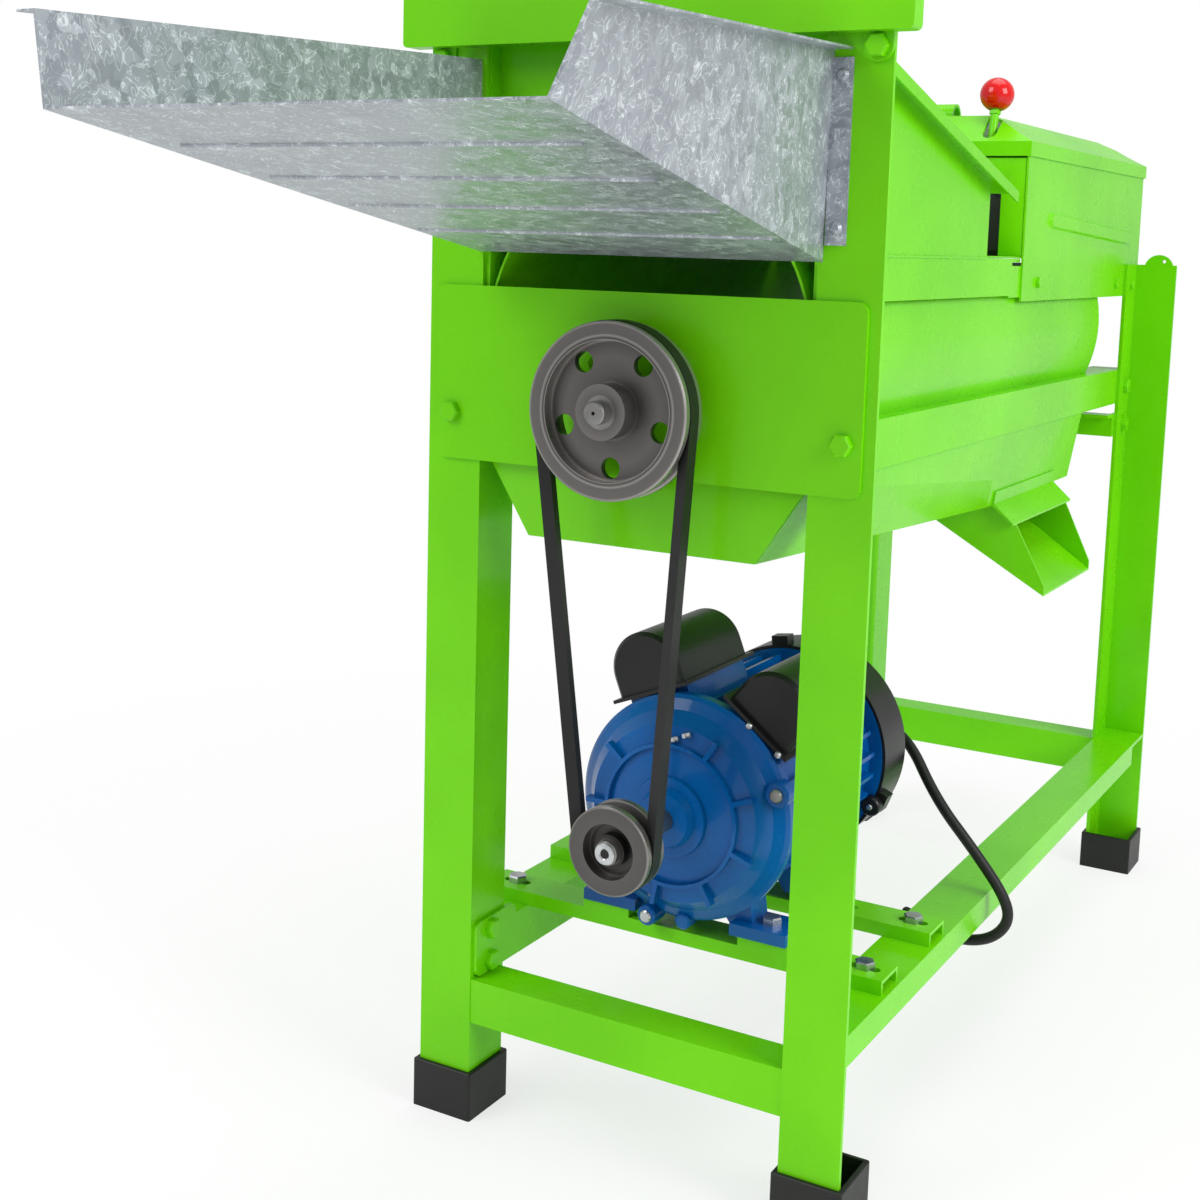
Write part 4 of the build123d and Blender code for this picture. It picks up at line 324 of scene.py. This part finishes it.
# %% Finishes by slot
finishes = {
    "green_paint": green,
    "motor_blue": blue,
    "galvanised": zinc.material,
    "zinc_steel": metal("bright_zinc", (165, 168, 170), (205, 207, 208), 0.18),
    "plain_steel": metal("plain_steel", (120, 119, 117), (150, 149, 147), 0.30),
    "bearing_iron": metal("bearing_iron", (70, 74, 78), (92, 96, 100), 0.42),
    "belt_rubber": moulded("belt_rubber", (20, 20, 21), (31, 31, 31), 0.42, 500),
    "black_rubber": moulded("black_rubber", (20, 20, 20), (30, 30, 29), 0.40, 700),
    "black_plastic": moulded("black_plastic", (15, 15, 16), (24, 24, 25), 0.28, 900),
    "red_plastic": moulded("red_knob_plastic", (214, 0, 3), (224, 0, 5), 0.10, 8, Coat_Weight=0.3),
}
print("finishes by slot:", len(finishes))

# %% [markdown]
# ## Hand out the finishes
# Each piece of the frame names its slot, and the slot names the finish. Four pieces differ: the two pulleys
# have rings about their own axis, the knob's stud is painted over, and the plate at the front of the rear
# cover is shown dark.

# %% Finish every piece of the frame
own = {"drum_pulley": drum_iron, "motor_pulley": motor_iron,
       "gate_stud": green, "cover_end_plate": finishes["black_rubber"]}
for row in frame["record"]["subparts"]:
    node = frame["nodes"][row["node"]]
    chosen = own.get(row["node"]) or finishes[row["material_slot"]]
    for held in node.material_slots:
        held.material = chosen
    if not node.material_slots:
        node.data.materials.append(chosen)

# %% [markdown]
# ## Ways to make a new piece
# Small fittings are turned or folded. A turned one is an outline spun round its axis. A folded one is a
# flat shape pushed out to its thickness, with its edges rounded a little, because a sharp edge never
# catches the light as a real one does.

# %% Turn and fold
def turned(shape, outline, base, axis, steps=28):
    """Spin an outline of (radius, height) pairs round an axis through base."""
    axis, base = Vector(axis).normalized(), Vector(base)
    across = axis.orthogonal().normalized()
    corners = [shape.verts.new(base + across * radius + axis * height) for radius, height in outline]
    pairs = zip(corners, corners[1:] + corners[:1])
    edges = [shape.edges.new(pair) for pair in pairs]
    bmesh.ops.spin(shape, geom=corners + edges, cent=base, axis=axis, dvec=(0, 0, 0), angle=2 * pi,
                   steps=steps, use_merge=True, use_duplicate=False)
    bmesh.ops.remove_doubles(shape, verts=shape.verts, dist=1e-6)
    bmesh.ops.dissolve_degenerate(shape, edges=shape.edges, dist=1e-7)


def folded(shape, outline, push, edge=0.0007):
    """Push a flat outline of points out to its thickness, and round its edges."""
    face = shape.faces.new([shape.verts.new(point) for point in outline])
    grown = bmesh.ops.extrude_face_region(shape, geom=[face])["geom"]
    far = [item for item in grown if isinstance(item, bmesh.types.BMVert)]
    bmesh.ops.translate(shape, verts=far, vec=push)
    ring = dict.fromkeys(e for v in list(face.verts) + far for e in v.link_edges)    # each edge once
    bmesh.ops.bevel(shape, geom=list(ring), offset=edge, offset_type="OFFSET", affect="EDGES", segments=2,
                    profile=0.5, material=-1)


def flat(y, outline):
    """Points of an upright sheet that faces the front, from (x, z) pairs."""
    return [(x, y, z) for x, z in outline]


def panel(y, half, low, high):
    """An upright rectangle that faces the front, as wide to the left as to the right."""
    return flat(y, [(-half, low), (half, low), (half, high), (-half, high)])


print("helpers: turned, folded, flat, panel")

# %% Place a piece
SHARP = 0.6    # radians: edges that turn by more stay crisp


def placed(name, shape, slot, body="frame", smooth=True):
    """Close the shape as a piece of the machine."""
    bmesh.ops.recalc_face_normals(shape, faces=shape.faces)
    mesh = bpy.data.meshes.new(name)
    shape.to_mesh(mesh)
    shape.free()
    mesh.materials.append(finishes[slot])
    made = bpy.data.objects.new(name, mesh)
    bpy.context.scene.collection.objects.link(made)
    if smooth:
        mesh.shade_smooth()
        mesh.set_sharp_from_angle(angle=SHARP)
    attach(made, body)
    print(name, len(mesh.polygons), "faces")
    return made


print("helper: placed")

# %% [markdown]
# ## Grain hopper
# Below the front plate a plain sheet closes the hopper's end, and the hopper narrows towards it. A hopper
# made from new corners would have to repeat its outlet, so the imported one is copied, cut across with a
# plane, and only the corners at its front end are drawn in.

# %% Hopper with a narrow front
HANG, KNEE = 0.139, 0.567          # half its width, and the height where its sides begin to slope
CUT_Y, END_Y, OUTER = 0.20, -0.2, 0.11    # the cut, and the corners that move: before END_Y, outside OUTER
NARROW, SHALLOW = 3.25, 60 / 72    # how far those corners go in and up, as factors
TINY = 1e-6
hopper_node = frame["nodes"]["grain_hopper"]
shape = bmesh.new()
shape.from_mesh(hopper_node.data)
bmesh.ops.remove_doubles(shape, verts=shape.verts, dist=TINY)
bmesh.ops.bisect_plane(shape, geom=list(shape.verts) + list(shape.edges) + list(shape.faces),
                       plane_co=(0, CUT_Y, 0), plane_no=(0, 1, 0), dist=TINY)
for corner in shape.verts:
    if corner.co.y < END_Y and corner.co.z < KNEE - 0.001 and abs(corner.co.x) > OUTER:
        side = 1 if corner.co.x > 0 else -1
        corner.co.x = side * (HANG - (HANG - abs(corner.co.x)) * NARROW)
        corner.co.z = KNEE - (KNEE - corner.co.z) * SHALLOW
tapered = placed("grain_hopper_tapered", shape, "green_paint", smooth=False)
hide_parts("grain_hopper")

# %% Sheet at the hopper's front
SHEET_Y, SHEET_HALF = -0.2775, HANG - 0.0005
LOW_HALF, LOW, TOP, SHEET_GAUGE = 0.100, 0.507, 0.5685, 0.002
shape = bmesh.new()
folded(shape, flat(SHEET_Y, [(-LOW_HALF, LOW), (LOW_HALF, LOW), (SHEET_HALF, KNEE), (SHEET_HALF, TOP),
                             (-SHEET_HALF, TOP), (-SHEET_HALF, KNEE)]), (0, SHEET_GAUGE, 0))
placed("hopper_front_sheet", shape, "green_paint")

# %% [markdown]
# ## Between throat and cover
# A top sheet and an upright sheet close the gap between the throat and the rear cover, and a narrow strip
# does so on each side. A dark sheet in the black rubber finish hangs behind a folded arch at the cover's
# front, and a thin bead runs along the throat's lower edge. The sheets are each one outline pushed out to its
# gauge; the bead is turned.

# %% Neck
NECK_HALF, SEAM = 0.1405, 0.7373
NECK_FRONT, NECK_REAR, WALL_Y, WALL_TOP = 0.1045, 0.2200, 0.1023, 0.7945
STRIP_X, STRIP_FRONT, STRIP_REAR, STRIP_LOW, STRIP_HIGH = 0.1385, 0.1858, 0.2196, 0.7335, 0.7370
GAUGE = 0.0018
shape = bmesh.new()
folded(shape, [(-NECK_HALF, NECK_FRONT, SEAM), (NECK_HALF, NECK_FRONT, SEAM), (NECK_HALF, NECK_REAR, SEAM),
               (-NECK_HALF, NECK_REAR, SEAM)], (0, 0, GAUGE))
folded(shape, panel(WALL_Y, NECK_HALF, SEAM, WALL_TOP), (0, GAUGE, 0))
for side in (-1, 1):
    strip_x = side * STRIP_X
    folded(shape, [(strip_x, STRIP_FRONT, STRIP_LOW), (strip_x, STRIP_REAR, STRIP_LOW),
                   (strip_x, STRIP_REAR, STRIP_HIGH), (strip_x, STRIP_FRONT, STRIP_HIGH)],
           (side * GAUGE, 0, 0), edge=0.0004)
placed("neck_sheets", shape, "green_paint")

# %% Dark sheet, bead and arch
POST, CROWN, HEAD = 0.117, 0.812, 0.8335
DARK_SHEET_Y, DARK_SHEET_GAUGE, ARCH_Y = 0.2253, 0.0012, 0.2205
BEAD_START, BEAD_RADIUS, BEAD_LENGTH = (0.1431, -0.2330, 0.7372), 0.0013, 0.338
shape = bmesh.new()
# a dark sheet behind the arch, which makes the gap there black
folded(shape, panel(DARK_SHEET_Y, NECK_HALF, SEAM, HEAD), (0, DARK_SHEET_GAUGE, 0), edge=0.0003)
placed("cover_dark_sheet", shape, "black_rubber")
shape = bmesh.new()
turned(shape, [(0, 0), (BEAD_RADIUS, 0.001), (BEAD_RADIUS, BEAD_LENGTH - 0.001), (0, BEAD_LENGTH)],
       BEAD_START, (0, 1, 0), steps=12)
placed("throat_seam", shape, "green_paint")
shape = bmesh.new()
folded(shape, flat(ARCH_Y, [(-NECK_HALF, SEAM), (-POST, SEAM), (-POST, CROWN), (POST, CROWN), (POST, SEAM),
                            (NECK_HALF, SEAM), (NECK_HALF, HEAD), (-NECK_HALF, HEAD)]),
       (0, SHEET_GAUGE, 0), edge=0.0008)
placed("cover_front_arch", shape, "green_paint")

# %% [markdown]
# ## Small fittings of the drive
# Screw heads, bosses and the bush in the small pulley are all round, so each is one outline on the same
# turning helper. They catch the eye because they are bright on dark pieces.

# %% Bush of the small pulley, and painted shade in its bore
FRONTWARDS = (0, -1, 0)
BUSH_Y, BORE_SHADE_Y = -0.3369, -0.3370
BUSH = [(0.0036, 0), (0.0086, 0), (0.0086, 0.0011), (0.0079, 0.0018), (0.0045, 0.0018), (0.0036, 0.0010)]
# the second outline is a black dish, painted shade in the pulley's bore
BORE_SHADE = [(0, 0.0002), (0.0033, 0.0004), (0.0036, 0.0009), (0.0036, 0), (0, 0)]
shape = bmesh.new()
turned(shape, BUSH, (motor_axis.x, BUSH_Y, motor_axis.z), FRONTWARDS, steps=36)
placed("pulley_bush", shape, "zinc_steel", "motor_rotor")
# painted shade: a black dish where the bore is dark
shape = bmesh.new()
turned(shape, BORE_SHADE, (motor_axis.x, BORE_SHADE_Y, motor_axis.z), FRONTWARDS)
placed("pulley_bore_shade", shape, "black_rubber", "motor_rotor")

# %% Bosses of the motor's shield
BOSSES = ((0.1000, -0.2040, 0.3125, 0.0105, 0.0150), (-0.0125, -0.2000, 0.1880, 0.0085, 0.0200),
          (0.0180, -0.1990, 0.1880, 0.0070, 0.0150))
CHAMFER = 0.0015
shape = bmesh.new()
for x, y, z, radius, length in BOSSES:
    turned(shape, [(0, 0), (radius, 0), (radius, length - CHAMFER), (radius - CHAMFER, length), (0, length)],
           (x, y, z), FRONTWARDS)
placed("shield_bosses", shape, "motor_blue")

# %% Screws and the ear's bolt
SCREWS = ((-0.0125, -0.2200, 0.1880, 0.0052), (0.0943, -0.2060, 0.3418, 0.0030),
          (0.0684, -0.2060, 0.3610, 0.0030), (0.0988, -0.0062, 0.2435, 0.0030))
SCREW_HEIGHT = 0.0022
EAR_AT, EAR_RADIUS, EAR_HEIGHT = (0.1000, -0.2190, 0.3125), 0.0055, 0.0030


def pan(radius, height):
    """The outline of a pan head."""
    return [(0, 0), (radius, 0), (radius, height * 0.45), (radius * 0.78, height * 0.9), (0, height)]


shape = bmesh.new()
for x, y, z, radius in SCREWS:
    turned(shape, pan(radius, SCREW_HEIGHT), (x, y, z), FRONTWARDS)
placed("bright_screws", shape, "zinc_steel")
shape = bmesh.new()
turned(shape, pan(EAR_RADIUS, EAR_HEIGHT), EAR_AT, FRONTWARDS)
placed("ear_bolt", shape, "plain_steel")

# %% Fan cover's lug and the earth clips
LUG_AT = (0.0988, 0.0040, 0.2435)
LUG = [(0, 0), (0.0090, 0), (0.0090, 0.0085), (0.0078, 0.0100), (0, 0.0100)]
CLIP_Y, CLIP_DEPTH, CLIP_SHIFTS = -0.2325, 0.0035, ((0, 0), (0.0105, 0.0050))
CLIP = ((0.0115, 0.3440), (0.0185, 0.3462), (0.0177, 0.3500), (0.0107, 0.3478))
shape = bmesh.new()
turned(shape, LUG, LUG_AT, FRONTWARDS)
placed("fan_cover_lug", shape, "black_plastic")
shape = bmesh.new()
for shift, lift in CLIP_SHIFTS:
    folded(shape, flat(CLIP_Y, [(x + shift, z + lift) for x, z in CLIP]), (0, CLIP_DEPTH, 0), edge=0.0005)
placed("earth_clips", shape, "zinc_steel")

# %% [markdown]
# ## The motor's lead
# A round rubber cable leaves its gland, dips behind the fan cover and hangs to the lower rail. A flexible
# cable bends in one smooth line, so it is a spline through a few given points and never short arcs.

# %% The lead's route
FRONT = -0.285
gland_low, gland_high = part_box("motor_gland")
gland = Vector(((gland_low.x + gland_high.x) / 2, gland_high.y, (gland_low.z + gland_high.z) / 2))
cord_start_y = FRONT + 0.221
route = [(gland.x, cord_start_y, gland.z), (gland.x, FRONT + 0.260, gland.z), (-0.066, FRONT + 0.303, 0.364),
         (-0.098, FRONT + 0.348, 0.325), (-0.078, FRONT + 0.397, 0.288), (-0.020, FRONT + 0.413, 0.280),
         (0.043, FRONT + 0.405, 0.292), (0.098, FRONT + 0.372, 0.288), (0.140, FRONT + 0.340, 0.242),
         (0.180, FRONT + 0.336, 0.202), (0.208, FRONT + 0.338, 0.167), (0.216, FRONT + 0.339, 0.144),
         (0.203, FRONT + 0.338, 0.124), (0.178, FRONT + 0.337, 0.115), (0.152, FRONT + 0.339, 0.117),
         (0.133, FRONT + 0.338, 0.123)]
print("points on the lead's route:", len(route))

# %% Cord
CORD_DIAMETER = 0.010
line = bpy.data.curves.new("motor_lead", "CURVE")
line.dimensions = "3D"
line.bevel_depth = CORD_DIAMETER / 2
line.bevel_resolution = 6
line.use_fill_caps = True
spline = line.splines.new("NURBS")
spline.points.add(len(route) - 1)
for point, place in zip(spline.points, route):
    point.co = (*place, 1)
spline.order_u = 3
spline.use_endpoint_u = True
spline.resolution_u = 10
line.materials.append(finishes["black_rubber"])
lead = bpy.data.objects.new("motor_lead", line)
bpy.context.scene.collection.objects.link(lead)
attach(lead, "frame")
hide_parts("motor_cord")
print("lead in metres:", round(spline.calc_length(), 3))

# %% [markdown]
# ## Floor
# Product pictures use a white sweep. The white behind the machine comes from the floor's and the world's own
# colour as the camera sees them, so that the paint isn't over-lit to get it. Near the machine part of the
# floor's plain shader shows through, which keeps the object's shadow.

# %% Floor
FLOOR_REACH = 12
ground = bmesh.new()
bmesh.ops.create_grid(ground, x_segments=1, y_segments=1, size=FLOOR_REACH)
floor_mesh = bpy.data.meshes.new("floor")
ground.to_mesh(floor_mesh)
ground.free()
floor = bpy.data.objects.new("floor", floor_mesh)
bpy.context.scene.collection.objects.link(floor)
print("floor width in metres:", round(floor.dimensions.x, 1))

# %% Finish of the floor
SHADOW_NEAR, SHADOW_FAR, SHADOW_SHARE = 0.5, 1.5, 0.30
FLOOR_IN_GLOSS = 0.5
PALE = (0.96, 0.96, 0.96, 1)
sweep = Finish("pale_floor", Roughness=0.7, Base_Color=PALE)
seen = sweep.node("ShaderNodeLightPath", "Is Camera Ray")
away = sweep.node("ShaderNodeVectorMath", "Value", settings={"operation": "LENGTH"}, sockets={0: sweep.place})
shadow = sweep.node("ShaderNodeMapRange", sockets={"Value": away, "From Min": SHADOW_NEAR,
                                                   "From Max": SHADOW_FAR, "To Min": SHADOW_SHARE,
                                                   "To Max": 0.0})
glow = sweep.node("ShaderNodeEmission", sockets={"Color": WHITE, "Strength": 1.0})
lit = Wire(sweep, sweep.surface.outputs["BSDF"])
shown = sweep.node("ShaderNodeMixShader", sockets={
    0: (seen + seen.beside("Is Glossy Ray") * FLOOR_IN_GLOSS) * (1 - shadow), 1: lit, 2: glow})
sweep.feed(sweep.tree.nodes["Material Output"].inputs["Surface"], shown)
floor_mesh.materials.append(sweep.material)
print("floor nodes:", len(sweep.tree.nodes))

# %% [markdown]
# ## World and lamps
# The world is white to the camera and through glass, less so in gloss, and only half as strong as a light.
# A lamp's size sets how soft its shadow is: large ones give the soft edges of a studio.

# %% World
WORLD_AS_LIGHT = 0.50
WORLD_SEEN = (("Is Camera Ray", 1.0), ("Is Glossy Ray", 0.6), ("Is Transmission Ray", 1.0))
world = bpy.data.worlds.new("studio")
bpy.context.scene.world = world
world.use_nodes = True
sky = Network(world.node_tree)
ray = sky.node("ShaderNodeLightPath")
strength = WORLD_AS_LIGHT
for kind, share in WORLD_SEEN:
    strength = ray.maths("MAXIMUM", ray.beside(kind) * share, strength)
background = sky.tree.nodes["Background"]
sky.feed(background.inputs["Strength"], strength)
sky.feed(background.inputs["Color"], WHITE)
print("world nodes:", len(sky.tree.nodes))

# %% Lamps
MIDDLE = (0, 0, 0.5)


def lamp(name, place, size, watts):
    """A square lamp that faces the middle of the machine."""
    light = bpy.data.lights.new(name, "AREA")
    light.size = size
    light.energy = watts
    holder = bpy.data.objects.new(name, light)
    holder.location = place
    holder.rotation_euler = (Vector(MIDDLE) - Vector(place)).to_track_quat("-Z", "Y").to_euler()
    bpy.context.scene.collection.objects.link(holder)
    print("lamp", name, watts, "W")


lamp("key", (-1.6, -2.6, 2.6), 1.8, 50)
lamp("side", (2.8, -0.6, 1.9), 1.6, 56)
lamp("top", (0.2, 0.4, 3.2), 2.2, 34)
bpy.context.scene.view_settings.view_transform = "Standard"
